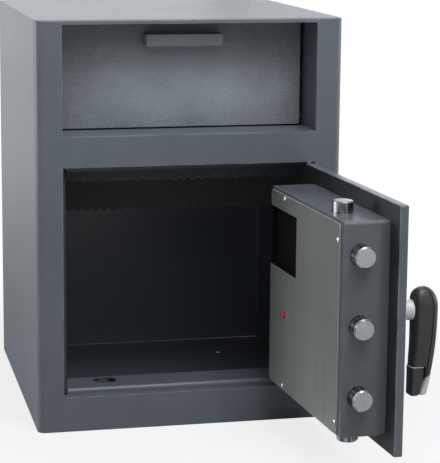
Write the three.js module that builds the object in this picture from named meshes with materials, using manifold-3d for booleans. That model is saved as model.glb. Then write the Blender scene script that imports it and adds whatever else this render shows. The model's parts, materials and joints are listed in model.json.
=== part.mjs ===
// Drop safe with a tilting deposit hopper over a lockable door, shown with the door open.
// Millimetres. X is to the right, Y is depth measured back from the front plane, Z is up.
// The whole group is moved forward by half the depth, so its origin is the middle of the base.
import * as THREE from "three";
import { mergeVertices } from "three/addons/utils/BufferGeometryUtils.js";
import Module from "manifold-3d";

const wasm = await Module();
wasm.setup();

// Driving sizes of the carcase
const HEIGHT = 500;
const WIDTH = 375;
const DEPTH = 395;
const SHEET = 3;
const FRONT_SHEET = 4;
const FRONT_RETURN = 14;
const FRONT_EDGE_R = 9;
const TOP_EDGE_R = 2;
const GAP = 0.3;
const THIN = 2;
const CHANNEL_SHEET = 2.5;
const BEND_R = 2;

// The strips of the front around its two openings
const SIDE_STRIP = 32;
const BOTTOM_STRIP = 43.5;
const CROSSPIECE = 37;
const TOP_STRIP = 5;
const RECESS_HEIGHT = 133;
const OPENING_HALF = WIDTH / 2 - SIDE_STRIP;
const RECESS_Z1 = HEIGHT - TOP_STRIP;
const RECESS_Z0 = RECESS_Z1 - RECESS_HEIGHT;
const DOOR_Z0 = BOTTOM_STRIP;
const DOOR_Z1 = RECESS_Z0 - CROSSPIECE;

// Hopper
const PANEL_Y = 62;
const PANEL_SIDE_GAP = 4;
const PANEL_FOOT_GAP = 1.5;
const PANEL_HEAD_GAP = 2;
const PANEL_SHEET = 2.5;
const PANEL_HALF = OPENING_HALF - PANEL_SIDE_GAP;
const PANEL_Z0 = RECESS_Z0 + PANEL_FOOT_GAP;
const PANEL_Z1 = RECESS_Z1 - PANEL_HEAD_GAP;
const LEDGE_GAP = 1.5;
const RECESS_FLOOR_DEPTH = PANEL_Y - LEDGE_GAP;
const HOPPER_PIVOT_BACK = 10;
const HOPPER_PIVOT_RISE = 10;
const HOPPER_PIVOT_Y = PANEL_Y + HOPPER_PIVOT_BACK;
const HOPPER_PIVOT_Z = RECESS_Z0 + HOPPER_PIVOT_RISE;
const CHEEK_LAND = 14;
const RECESS_SIDE_DEPTH = HOPPER_PIVOT_Y + CHEEK_LAND;
const HOPPER_PIN_R = 3;
const HOPPER_PIN_HEAD = 2;
const HOPPER_PIN_HEAD_R = HOPPER_PIN_R + HOPPER_PIN_HEAD;
const TRAY_LENGTH = 94;
const TRAY_SLOPE = THREE.MathUtils.degToRad(-50);
const TRAY_START_Z = RECESS_Z0 + THIN;
const PULL_HALF = 47.5;
const PULL_HEIGHT = 15;
const PULL_DROP = 13.7;
const PULL_PROUD = 24;
const PULL_Z1 = PANEL_Z1 - PULL_DROP;
const PULL_Z0 = PULL_Z1 - PULL_HEIGHT;

// Door, given as if closed, then turned open about its hinge pins
const DOOR_OPEN = THREE.MathUtils.degToRad(93.6);
const DOOR_SIDE_GAP = 2.2;
const DOOR_FOOT_GAP = 1.8;
const DOOR_HEAD_GAP = 2;
const PLATE_Y0 = 1;
const PLATE_SHEET = 10;
const PLATE_BEVEL = 0.8;
const HINGE_EDGE_BEVEL = 1.5;
const PLATE_HALF = OPENING_HALF - DOOR_SIDE_GAP;
const PLATE_Y1 = PLATE_Y0 + PLATE_SHEET;
const PLATE_Z0 = DOOR_Z0 + DOOR_FOOT_GAP;
const PLATE_Z1 = DOOR_Z1 - DOOR_HEAD_GAP;
const HINGE_INSET = 4.1;
const HINGE_SETBACK = 4.5;
const HINGE_X = PLATE_HALF - HINGE_INSET;
const HINGE_Y = PLATE_Y0 + HINGE_SETBACK;
const HINGE_PIN_R = 2.5;
const HINGE_PIN_LENGTH = 25;

// Lock case on the inside of the door, its cover and the cover's screws
const CASE_FREE_MARGIN = 25.8;
const CASE_HINGE_MARGIN = 37.3;
const CASE_FOOT_MARGIN = 17.2;
const CASE_HEAD_MARGIN = 20;
const CASE_DEPTH = 52.5;
const CASE_SHEET = 2;
const CASE_EDGE = 2;
const CASE_RIM = 9;
const CASE_X0 = CASE_FREE_MARGIN - PLATE_HALF;
const CASE_X1 = PLATE_HALF - CASE_HINGE_MARGIN;
const CASE_Z0 = PLATE_Z0 + CASE_FOOT_MARGIN;
const CASE_Z1 = PLATE_Z1 - CASE_HEAD_MARGIN;
const CASE_Y0 = PLATE_Y1 + GAP;
const CASE_Y1 = CASE_Y0 + CASE_DEPTH;
const COVER_FREE_INSET = 9.5;
const COVER_HINGE_INSET = 2.4;
const COVER_FOOT_INSET = 2;
const COVER_HEAD_INSET = 3.5;
const COVER_SHEET = 1.2;
const COVER_CORNER_R = 6;
const COVER_X0 = CASE_X0 + COVER_FREE_INSET;
const COVER_X1 = CASE_X1 - COVER_HINGE_INSET;
const COVER_Z0 = CASE_Z0 + COVER_FOOT_INSET;
const COVER_Z1 = CASE_Z1 - COVER_HEAD_INSET;
const COVER_Y0 = CASE_Y1 + GAP;
const COVER_Y1 = COVER_Y0 + COVER_SHEET;
const COVER_SCREW_R = 4.3;
const COVER_SCREW_HEAD = 2.2;

// Battery compartment at the hinge side of the cover
const BATTERY_WIDTH = 91.8;
const BATTERY_HEIGHT = 71.5;
const BATTERY_DROP = 19.5;
const BATTERY_DEPTH = 29.3;
const BATTERY_WALL = 1.6;
const BATTERY_LID_SINK = 9.3;
const BATTERY_LID_SHEET = 2.4;
const BATTERY_LID_CLEARANCE = 0.8;
const BATTERY_HINGE_INSET = 2.6;
const BATTERY_X0 = COVER_X1 - BATTERY_WIDTH;
const BATTERY_Z1 = COVER_Z1 - BATTERY_DROP;
const BATTERY_Z0 = BATTERY_Z1 - BATTERY_HEIGHT;
const BATTERY_FLOOR_Y = COVER_Y1 - BATTERY_DEPTH;
const BATTERY_LID_Y = COVER_Y1 - BATTERY_LID_SINK;
const CATCH_WIDTH = 5;
const CATCH_HEIGHT = 18;
const CATCH_PROUD = 4;

// The channels behind the door opening: stops for the door plate and keeps for the bolts
const BOLT_R = 12;
const BOLT_SETBACK = 19.4;
const BOLT_Y = CASE_Y1 - BOLT_SETBACK;
const KEEP_CLEARANCE = 3;
const KEEP_LAND = 2.6;
const KEEP_HOLE_R = BOLT_R + KEEP_CLEARANCE;
const DOOR_STOP_GAP = 1.5;
const STOP_WIDTH = 6;
const SILL_RISE = 7.5;
const HEADER_DROP = 8;
const CHANNEL_INSET = 7.5;
const STOP_Y = PLATE_Y1 + DOOR_STOP_GAP;
const STOP_X = OPENING_HALF - STOP_WIDTH;
const CHANNEL_BACK_Y = BOLT_Y + KEEP_HOLE_R + KEEP_LAND;
const CHANNEL_OUT = WIDTH / 2 - CHANNEL_INSET;
const SILL_Z = DOOR_Z0 + SILL_RISE;
const HEADER_Z = DOOR_Z1 - HEADER_DROP;
const CHANNEL_Z0 = SHEET + GAP;
const CHANNEL_Z1 = RECESS_Z0 - THIN - GAP;

// Anti-fishing baffles: the front one clears the closed door, the rear one clears the tilted tray
const TOOTH_PITCH = 11.4;
const TOOTH_DEPTH = 4.5;
const FRONT_BAFFLE_DROP = 29.4;
const REAR_BAFFLE_DROP = 59.6;
const FRONT_BAFFLE_GAP = 0.8;
const FRONT_BAFFLE_HEAD_GAP = 6;
const TRAY_SWING_GAP = 24;
const FRONT_BAFFLE_Y = COVER_Y1 + GAP + COVER_SCREW_HEAD + FRONT_BAFFLE_GAP;
const FRONT_BAFFLE_Z = DOOR_Z1 - FRONT_BAFFLE_DROP;
const FRONT_BAFFLE_Z1 = CHANNEL_Z1 - FRONT_BAFFLE_HEAD_GAP;
const REAR_BAFFLE_Y = HOPPER_PIVOT_Y + TRAY_LENGTH + TRAY_SWING_GAP;
const REAR_BAFFLE_Z = FRONT_BAFFLE_Z - REAR_BAFFLE_DROP;

// Bolt work
const BOLT_CHAMFER = 1.5;
const BOLT_CLEARANCE = 0.4;
const BOLT_HOLE_R = BOLT_R + BOLT_CLEARANCE;
const THROW = 18;
const CAM_PIN_START = 11;
const CAM_LAND = 4;
const CAM_R = CAM_PIN_START + THROW + CAM_LAND;
const CAM_CASE_GAP = 2.5;
const SPINDLE_X = CASE_X0 + CASE_SHEET + CAM_CASE_GAP + CAM_R;
const SIDE_TIP_GAP = 4.8;
const SIDE_BOLT_TIP = SIDE_TIP_GAP - STOP_X;
const SIDE_BOLT_LENGTH = 55;
const TOP_SIDE_BOLT_INSET = 36.5;
const LOW_SIDE_BOLT_INSET = 46;
const TOP_SIDE_BOLT_Z = CASE_Z1 - TOP_SIDE_BOLT_INSET;
const LOW_SIDE_BOLT_Z = CASE_Z0 + LOW_SIDE_BOLT_INSET;
const MIDDLE_SIDE_BOLT_Z = (TOP_SIDE_BOLT_Z + LOW_SIDE_BOLT_Z) / 2;
const SIDE_BOLT_Z = [TOP_SIDE_BOLT_Z, MIDDLE_SIDE_BOLT_Z, LOW_SIDE_BOLT_Z];
const SPINDLE_RISE = 5.5;
const SPINDLE_Z = MIDDLE_SIDE_BOLT_Z + SPINDLE_RISE;
const END_TIP_GAP = 0.6;
const TOP_BOLT_OFFSET = 20;
const TOP_BOLT_X = SPINDLE_X + TOP_BOLT_OFFSET;
const TOP_BOLT_TIP = HEADER_Z - END_TIP_GAP;
const TOP_TAIL_SHARE = 0.447;
const TOP_BOLT_TAIL = SPINDLE_Z + CAM_R + (TOP_BOLT_TIP - SPINDLE_Z - CAM_R) * TOP_TAIL_SHARE;
const BOTTOM_BOLT_OFFSET = -9;
const BOTTOM_BOLT_X = SPINDLE_X + BOTTOM_BOLT_OFFSET;
const BOTTOM_BOLT_TIP = SILL_Z + END_TIP_GAP;
const BOTTOM_TAIL_SHARE = 0.631;
const BOTTOM_BOLT_TAIL = SPINDLE_Z - CAM_R + (BOTTOM_BOLT_TIP - SPINDLE_Z + CAM_R) * BOTTOM_TAIL_SHARE;
const BAR_SHEET = 5;
const BAR_HALF = 11.5;
const BAR_Z0 = LOW_SIDE_BOLT_Z - BAR_HALF;
const BAR_Z1 = TOP_SIDE_BOLT_Z + BAR_HALF;
const BAR_Y0 = BOLT_Y - BAR_HALF;
const BAR_Y1 = BOLT_Y + BAR_HALF;

// Handle, spindle and the spiral cam that draws the bolts
const SPINDLE_R = 6;
const SPINDLE_SQUARE = 8;
const CAM_SETBACK = 11;
const CAM_SHEET = 6;
const CAM_Y0 = PLATE_Y1 + CAM_SETBACK;
const CAM_Y1 = CAM_Y0 + CAM_SHEET;
const CAM_PIN_R = 2.5;
const CAM_SLOT_HALF = CAM_PIN_R + GAP;
const CAM_STEPS = 14;
const ROD_SHEET = 3;
const ROD_CAM_GAP = 2;
const ROD_Y0 = CAM_Y0 - ROD_CAM_GAP - ROD_SHEET;
const ROD_HALF = 8;
const ROD_BEND_SHARES = [0.38, 0.74];
const STEM_R = 11.5;
const LEVER_INNER_Y = -32;
const LEVER_TOP = 25;
const LEVER_DROP = 95;
const LEVER_THICK_TOP = 28;
const LEVER_HALF_TOP = 13;
const LEVER_HALF_END = 9.5;
const LEVER_EDGE = 5;
const CAP_DROP = 77.5;
const CAP_THICK_END = 19.5;
const CAP_END_RISE = 4;
const SLEEVE_DROP = 64.5;
const SLEEVE_INNER_Y = -28.5;
const SLEEVE_OUTER_Y = -43.6;
const SLEEVE_TAPER = 5;
const SLEEVE_EDGE = 3;

// Lock and reset module
const LATCH_DROP = 33;
const LATCH_TAB_Z = SPINDLE_Z - LATCH_DROP;
const LATCH_TAB_SHEET = 4;
const LATCH_TAB_LAND = 10;
const PLUNGER_R = 3;
const PLUNGER_TIP_GAP = 1.5;
const PLUNGER_TIP = LATCH_TAB_Z - PLUNGER_TIP_GAP;
const PLUNGER_LENGTH = 30;
const LOCK_SPINDLE_GAP = 14;
const LOCK_WIDTH = 40;
const LOCK_HEIGHT = 38;
const LOCK_HALF_DEPTH = 12;
const PLUNGER_PROUD = 8.5;
const PLUNGER_INSET = 14;
const LOCK_X0 = SPINDLE_X + LOCK_SPINDLE_GAP;
const LOCK_X1 = LOCK_X0 + LOCK_WIDTH;
const LOCK_Y0 = BOLT_Y - LOCK_HALF_DEPTH;
const LOCK_Y1 = BOLT_Y + LOCK_HALF_DEPTH;
const LOCK_Z1 = PLUNGER_TIP - PLUNGER_PROUD;
const LOCK_Z0 = LOCK_Z1 - LOCK_HEIGHT;
const PLUNGER_X = LOCK_X0 + PLUNGER_INSET;
const LATCH_TAB_END = PLUNGER_X + THROW + LATCH_TAB_LAND;
const RESET_INSET = 53.6;
const RESET_HEIGHT_SHARE = 0.644;
const MODULE_HALF_SHARE = 0.15;
const RESET_ROOM = BATTERY_Z0 - CASE_Z0;
const RESET_X = COVER_X1 - RESET_INSET;
const RESET_Z = CASE_Z0 + RESET_ROOM * RESET_HEIGHT_SHARE;
const RESET_R = 3.8;
const RESET_PROUD = 2.6;
const RESET_LENGTH = 7;
const PINHOLE_DROP = 8.5;
const PINHOLE_R = 2;
const MODULE_HALF_X = 26;
const MODULE_HALF_Z = RESET_ROOM * MODULE_HALF_SHARE;
const MODULE_DEPTH = 26;
const MODULE_Y0 = COVER_Y0 - MODULE_DEPTH;

// Keypad on the outside of the door
const KEYPAD_HINGE_MARGIN = 98.3;
const KEYPAD_X = PLATE_HALF - KEYPAD_HINGE_MARGIN;
const KEYPAD_Z = SPINDLE_Z;
const KEYPAD_HALF_X = 39;
const KEYPAD_HALF_Z = 55;
const KEYPAD_THICK = 17;
const KEYPAD_EDGE = 4;
const KEYPAD_CORNER_R = 9;
const MEMBRANE_MARGIN = 7;
const MEMBRANE_SHEET = 1.5;
const KEY_COLUMNS = 3;
const KEY_ROWS = 4;
const KEY_SHARE = 0.72;
const KEY_CORNER_R = 2;
const KEY_PROUD = 0.8;
const KEY_FIELD_X = KEYPAD_HALF_X - MEMBRANE_MARGIN - KEY_CORNER_R;
const KEY_FIELD_Z = KEYPAD_HALF_Z - MEMBRANE_MARGIN - 2 * KEY_CORNER_R;
const KEY_PITCH_X = (2 * KEY_FIELD_X) / KEY_COLUMNS;
const KEY_PITCH_Z = (2 * KEY_FIELD_Z) / KEY_ROWS;
const KEY_HALF_X = (KEY_PITCH_X * KEY_SHARE) / 2;
const KEY_HALF_Z = (KEY_PITCH_Z * KEY_SHARE) / 2;

const ROUND = 36;
const SMALL_ROUND = 20;
const ARC_STEPS = 3;
const LEVER_STEPS = 8;

// Geometry to solid and back

function solidOf(geometry) {
  const plain = geometry.index ? geometry.toNonIndexed() : geometry.clone();
  plain.deleteAttribute("normal");
  plain.deleteAttribute("uv");
  const merged = mergeVertices(plain, 1e-4);
  const triVerts = new Uint32Array(merged.index.array);
  const vertProperties = new Float32Array(merged.attributes.position.array);
  return new wasm.Manifold(new wasm.Mesh({ numProp: 3, vertProperties, triVerts }));
}

function geometryOf(solid) {
  const data = solid.getMesh();
  const geometry = new THREE.BufferGeometry();
  geometry.setAttribute("position", new THREE.BufferAttribute(new Float32Array(data.vertProperties), 3));
  geometry.setIndex(new THREE.BufferAttribute(new Uint32Array(data.triVerts), 1));
  geometry.computeVertexNormals();
  return geometry;
}

function join(...solids) {
  return solids.reduce((sum, next) => sum.add(next));
}

function cut(solid, ...tools) {
  return tools.reduce((rest, tool) => rest.subtract(tool), solid);
}

// Elementary forms

const AXES = {
  x: [new THREE.Vector3(0, 1, 0), new THREE.Vector3(0, 0, 1), new THREE.Vector3(1, 0, 0)],
  y: [new THREE.Vector3(0, 0, 1), new THREE.Vector3(1, 0, 0), new THREE.Vector3(0, 1, 0)],
  z: [new THREE.Vector3(1, 0, 0), new THREE.Vector3(0, 1, 0), new THREE.Vector3(0, 0, 1)],
};

function block(x, y, z) {
  const geometry = new THREE.BoxGeometry(x[1] - x[0], y[1] - y[0], z[1] - z[0]);
  geometry.translate((x[0] + x[1]) / 2, (y[0] + y[1]) / 2, (z[0] + z[1]) / 2);
  return solidOf(geometry);
}

// A shape drawn in the two directions that follow the axis, pushed along it from one end to the other.
// Along x the shape is (y, z), along z it is (x, y), and along y it is (z, x).
function push(shape, axis, from, to, edge = 0, curveSegments = ARC_STEPS) {
  const options = {
    depth: to - from - 2 * edge,
    steps: 1,
    bevelEnabled: edge > 0,
    bevelThickness: edge,
    bevelSize: edge,
    bevelOffset: -edge,
    bevelSegments: edge > 1 ? 3 : 1,
    curveSegments,
  };
  const geometry = new THREE.ExtrudeGeometry(shape, options);
  geometry.translate(0, 0, from + edge);
  geometry.applyMatrix4(new THREE.Matrix4().makeBasis(...AXES[axis]));
  return solidOf(geometry);
}

function polygon(points) {
  return new THREE.Shape(points.map((p) => new THREE.Vector2(p[0], p[1])));
}

// A rectangle with rounded corners, from its limits in the shape's own two directions
function roundedRectangle(u, v, radius) {
  const shape = new THREE.Shape();
  const quarter = Math.PI / 2;
  shape.moveTo(u[0] + radius, v[0]);
  shape.lineTo(u[1] - radius, v[0]);
  shape.absarc(u[1] - radius, v[0] + radius, radius, -quarter, 0, false);
  shape.lineTo(u[1], v[1] - radius);
  shape.absarc(u[1] - radius, v[1] - radius, radius, 0, quarter, false);
  shape.lineTo(u[0] + radius, v[1]);
  shape.absarc(u[0] + radius, v[1] - radius, radius, quarter, 2 * quarter, false);
  shape.lineTo(u[0], v[0] + radius);
  shape.absarc(u[0] + radius, v[0] + radius, radius, 2 * quarter, 3 * quarter, false);
  return shape;
}

// A round bar along an axis, through a point given in the two directions that follow it
function round(axis, centre, from, to, radius, sides = ROUND) {
  const geometry = new THREE.CylinderGeometry(radius, radius, to - from, sides);
  geometry.rotateX(Math.PI / 2);
  geometry.translate(centre[0], centre[1], (from + to) / 2);
  geometry.applyMatrix4(new THREE.Matrix4().makeBasis(...AXES[axis]));
  return solidOf(geometry);
}

// A turned piece: its profile holds radius and height pairs and starts and ends on the axis
function turned(axis, centre, profile, sides = ROUND) {
  const geometry = new THREE.LatheGeometry(
    profile.map((p) => new THREE.Vector2(p[0], p[1])),
    sides,
  );
  geometry.rotateX(Math.PI / 2);
  geometry.translate(centre[0], centre[1], 0);
  geometry.applyMatrix4(new THREE.Matrix4().makeBasis(...AXES[axis]));
  return solidOf(geometry);
}

// Folded sheet

function leftOf(a, b) {
  const length = Math.hypot(b[0] - a[0], b[1] - a[1]);
  return [-(b[1] - a[1]) / length, (b[0] - a[0]) / length];
}

function offsetLine(points, distance) {
  return points.map((p, i) => {
    const before = i > 0 ? leftOf(points[i - 1], p) : null;
    const after = i < points.length - 1 ? leftOf(p, points[i + 1]) : null;
    const a = before || after;
    const b = after || before;
    const share = distance / (1 + a[0] * b[0] + a[1] * b[1]);
    return [p[0] + (a[0] + b[0]) * share, p[1] + (a[1] + b[1]) * share];
  });
}

function turnAt(points, i) {
  const a = leftOf(points[i - 1], points[i]);
  const b = leftOf(points[i], points[i + 1]);
  return a[0] * b[1] - a[1] * b[0];
}

const BEND_STEPS = 4;

function roundCorners(points, radiusAt) {
  const out = [points[0]];
  for (let i = 1; i < points.length - 1; i += 1) {
    const turn = turnAt(points, i);
    const radius = radiusAt(turn);
    const a = leftOf(points[i - 1], points[i]);
    const b = leftOf(points[i], points[i + 1]);
    const side = Math.sign(turn);
    const share = (side * radius) / (1 + a[0] * b[0] + a[1] * b[1]);
    const centre = [points[i][0] + (a[0] + b[0]) * share, points[i][1] + (a[1] + b[1]) * share];
    const start = Math.atan2(-side * a[1], -side * a[0]);
    const sweep = Math.asin(Math.max(-1, Math.min(1, turn)));
    const whole = a[0] * b[0] + a[1] * b[1] < 0 ? side * Math.PI - sweep : sweep;
    for (let k = 0; k <= BEND_STEPS; k += 1) {
      const angle = start + (whole * k) / BEND_STEPS;
      out.push([centre[0] + radius * Math.cos(angle), centre[1] + radius * Math.sin(angle)]);
    }
  }
  out.push(points[points.length - 1]);
  return out;
}

// The outline of a bent sheet: the line is one face, and the thickness lies to its left
function folded(points, thickness, inside) {
  const face = roundCorners(points, (turn) => (turn > 0 ? inside + thickness : inside));
  const back = roundCorners(offsetLine(points, thickness), (turn) =>
    turn > 0 ? inside : inside + thickness,
  );
  return polygon([...face, ...back.reverse()]);
}

// The pieces

const root = new THREE.Group();
root.name = "drop_safe";
const doorGroup = new THREE.Group();
doorGroup.name = "door_open";
doorGroup.position.set(HINGE_X, HINGE_Y, 0);
doorGroup.rotation.z = DOOR_OPEN;
root.add(doorGroup);

const LOOKS = {
  body: { color: 0x4f5660, roughness: 0.55, metalness: 0.3 },
  inner: { color: 0x30343a, roughness: 0.7, metalness: 0.2 },
  panel: { color: 0x6f7478, roughness: 0.5, metalness: 0.4 },
  cover: { color: 0x8a9094, roughness: 0.45, metalness: 0.5 },
  steel: { color: 0xc4c8cc, roughness: 0.25, metalness: 1 },
  zinc: { color: 0x9a9fa4, roughness: 0.4, metalness: 0.9 },
  black: { color: 0x17181a, roughness: 0.5, metalness: 0 },
  satin: { color: 0xb4b8bc, roughness: 0.35, metalness: 0.8 },
  red: { color: 0xb3222a, roughness: 0.4, metalness: 0 },
  rubber: { color: 0x2a2c2f, roughness: 0.8, metalness: 0 },
};

function place(parent, name, solid, look) {
  const material = new THREE.MeshStandardMaterial(LOOKS[look]);
  const mesh = new THREE.Mesh(geometryOf(solid), material);
  mesh.name = name;
  parent.add(mesh);
}

function onBody(name, solid, look) {
  place(root, name, solid, look);
}

// Door pieces are built closed, and the group's turn about the hinge pins opens them
function onDoor(name, solid, look) {
  place(doorGroup, name, solid.translate([-HINGE_X, -HINGE_Y, 0]), look);
}

const HALF = WIDTH / 2;
const INNER_HALF = HALF - SHEET;
const INNER_TOP = HEIGHT - SHEET;

// Carcase

function frontFrame() {
  const section = folded(
    [
      [-HALF, FRONT_RETURN],
      [-HALF, 0],
      [HALF, 0],
      [HALF, FRONT_RETURN],
    ],
    FRONT_SHEET,
    FRONT_EDGE_R - FRONT_SHEET,
  );
  const outline = polygon(
    roundCorners(
      [
        [-HALF, FRONT_RETURN],
        [-HALF, 0],
        [HALF, 0],
        [HALF, FRONT_RETURN],
      ],
      () => FRONT_EDGE_R,
    ),
  );
  const walls = push(section, "z", 0, HEIGHT);
  const bottom = push(outline, "z", 0, SHEET);
  const top = push(outline, "z", INNER_TOP, HEIGHT);
  const lipDepth = [0, STOP_Y - GAP];
  const lip = block(
    [-OPENING_HALF - CHANNEL_SHEET, OPENING_HALF + CHANNEL_SHEET],
    lipDepth,
    [DOOR_Z0 - CHANNEL_SHEET, DOOR_Z1 + CHANNEL_SHEET],
  );
  const through = [-FRONT_RETURN, 2 * FRONT_RETURN];
  const doorway = block([-OPENING_HALF, OPENING_HALF], through, [DOOR_Z0, DOOR_Z1]);
  const recess = block([-OPENING_HALF, OPENING_HALF], [-FRONT_RETURN, FRONT_SHEET + GAP], [
    RECESS_Z0,
    RECESS_Z1,
  ]);
  const pinR = HINGE_PIN_R + GAP;
  const pinHole = round("z", [HINGE_X, HINGE_Y], DOOR_Z0 - STOP_Y, DOOR_Z1 + STOP_Y, pinR, SMALL_ROUND);
  return cut(join(walls, bottom, top, lip), doorway, recess, pinHole);
}
onBody("front_frame", frontFrame(), "body");

const ANCHOR_R = 6;
const ANCHOR_SIDE_INSET = 77.5;
const ANCHOR_FRONT_INSET = 120;
const ANCHOR_REAR_INSET = 75;
const ANCHOR_X = HALF - ANCHOR_SIDE_INSET;
const ANCHOR_Y = [ANCHOR_FRONT_INSET, DEPTH - ANCHOR_REAR_INSET];

function bodyShell() {
  const outer = roundedRectangle([0, HEIGHT], [-HALF, HALF], TOP_EDGE_R);
  const tube = push(outer, "y", FRONT_RETURN + GAP, DEPTH);
  const room = block([-INNER_HALF, INNER_HALF], [0, DEPTH + SHEET], [SHEET, INNER_TOP]);
  const holes = ANCHOR_Y.flatMap((y) =>
    [-ANCHOR_X, ANCHOR_X].map((x) => round("z", [x, y], -SHEET, 2 * SHEET, ANCHOR_R, SMALL_ROUND)),
  );
  return cut(tube, room, ...holes);
}
onBody("body_shell", bodyShell(), "body");

function backPanel() {
  const inner = INNER_HALF - GAP;
  return block([-inner, inner], [DEPTH - SHEET, DEPTH], [SHEET + GAP, INNER_TOP - GAP]);
}
onBody("back_panel", backPanel(), "body");

function jambChannel(side) {
  const left = [
    [-CHANNEL_OUT, STOP_Y],
    [-STOP_X, STOP_Y],
    [-STOP_X, CHANNEL_BACK_Y],
    [-CHANNEL_OUT, CHANNEL_BACK_Y],
  ];
  const right = left.map((p) => [-p[0], p[1]]).reverse();
  const shape = folded(side < 0 ? left : right, CHANNEL_SHEET, BEND_R);
  return push(shape, "z", CHANNEL_Z0, CHANNEL_Z1);
}

const jambHoles = SIDE_BOLT_Z.map((z) =>
  round("x", [BOLT_Y, z], -STOP_X - CHANNEL_SHEET - GAP, -STOP_X + GAP, KEEP_HOLE_R),
);
onBody("jamb_channel_left", cut(jambChannel(-1), ...jambHoles), "inner");
onBody("jamb_channel_right", jambChannel(1), "inner");

function sillChannel() {
  const shape = folded(
    [
      [CHANNEL_BACK_Y, CHANNEL_Z0],
      [CHANNEL_BACK_Y, SILL_Z],
      [STOP_Y, SILL_Z],
      [STOP_Y, CHANNEL_Z0],
    ],
    CHANNEL_SHEET,
    BEND_R,
  );
  const channel = push(shape, "x", -STOP_X + GAP, STOP_X - GAP);
  const through = [SILL_Z - CHANNEL_SHEET - GAP, SILL_Z + GAP];
  const hole = round("z", [BOTTOM_BOLT_X, BOLT_Y], ...through, KEEP_HOLE_R);
  return cut(channel, hole);
}
onBody("sill_channel", sillChannel(), "body");

function headerChannel() {
  const shape = folded(
    [
      [STOP_Y, CHANNEL_Z1],
      [STOP_Y, HEADER_Z],
      [CHANNEL_BACK_Y, HEADER_Z],
      [CHANNEL_BACK_Y, CHANNEL_Z1],
    ],
    CHANNEL_SHEET,
    BEND_R,
  );
  const channel = push(shape, "x", -STOP_X + GAP, STOP_X - GAP);
  const through = [HEADER_Z - GAP, HEADER_Z + CHANNEL_SHEET + GAP];
  const hole = round("z", [TOP_BOLT_X, BOLT_Y], ...through, KEEP_HOLE_R);
  return cut(channel, hole);
}
onBody("header_channel", headerChannel(), "inner");

// A flat sheet with saw teeth along its lower edge, so nothing can be fished back out
function baffle(half, y, z, top) {
  const teeth = Math.floor((2 * half) / TOOTH_PITCH);
  const pitch = (2 * half) / teeth;
  const points = [
    [top, -half],
    [z + TOOTH_DEPTH, -half],
  ];
  for (let i = 0; i < teeth; i += 1) {
    points.push([z, -half + (i + 0.5) * pitch]);
    points.push([z + TOOTH_DEPTH, -half + (i + 1) * pitch]);
  }
  points.push([top, half]);
  return push(polygon(points), "y", y, y + THIN);
}

const BAFFLE_HALF = INNER_HALF - GAP;
const frontBaffle = baffle(BAFFLE_HALF, FRONT_BAFFLE_Y, FRONT_BAFFLE_Z, FRONT_BAFFLE_Z1);
onBody("front_baffle", frontBaffle, "inner");
onBody("rear_baffle", baffle(BAFFLE_HALF, REAR_BAFFLE_Y, REAR_BAFFLE_Z, INNER_TOP - GAP), "inner");

function recessLiner() {
  const top = INNER_TOP - GAP;
  const front = FRONT_SHEET + 2 * GAP;
  const floor = block([-OPENING_HALF - THIN, OPENING_HALF + THIN], [front, RECESS_FLOOR_DEPTH], [
    RECESS_Z0 - THIN,
    RECESS_Z0,
  ]);
  const sides = [-1, 1].map((side) => {
    const x = [side * OPENING_HALF, side * (OPENING_HALF + THIN)].sort((a, b) => a - b);
    return block(x, [front, RECESS_SIDE_DEPTH], [RECESS_Z0 - THIN, top]);
  });
  const pinR = HOPPER_PIN_R + GAP;
  const centre = [HOPPER_PIVOT_Y, HOPPER_PIVOT_Z];
  const pins = round("x", centre, -HALF, HALF, pinR, SMALL_ROUND);
  return cut(join(floor, ...sides), pins);
}
onBody("recess_liner", recessLiner(), "body");

function hopperPin(side) {
  const inner = PANEL_HALF - 3 * THIN;
  const head = OPENING_HALF + THIN + GAP;
  const profile = [
    [0, inner],
    [HOPPER_PIN_R, inner],
    [HOPPER_PIN_R, head],
    [HOPPER_PIN_HEAD_R, head],
    [HOPPER_PIN_HEAD_R, head + THIN],
    [0, head + THIN],
  ];
  const right = turned("x", [HOPPER_PIVOT_Y, HOPPER_PIVOT_Z], profile, SMALL_ROUND);
  return side > 0 ? right : right.mirror([1, 0, 0]);
}
onBody("hopper_pin_left", hopperPin(-1), "zinc");
onBody("hopper_pin_right", hopperPin(1), "zinc");

// Hopper

function hopperPanel() {
  const shape = roundedRectangle([PANEL_Z0, PANEL_Z1], [-PANEL_HALF, PANEL_HALF], THIN);
  return push(shape, "y", PANEL_Y, PANEL_Y + PANEL_SHEET);
}
onBody("hopper_panel", hopperPanel(), "panel");

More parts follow.
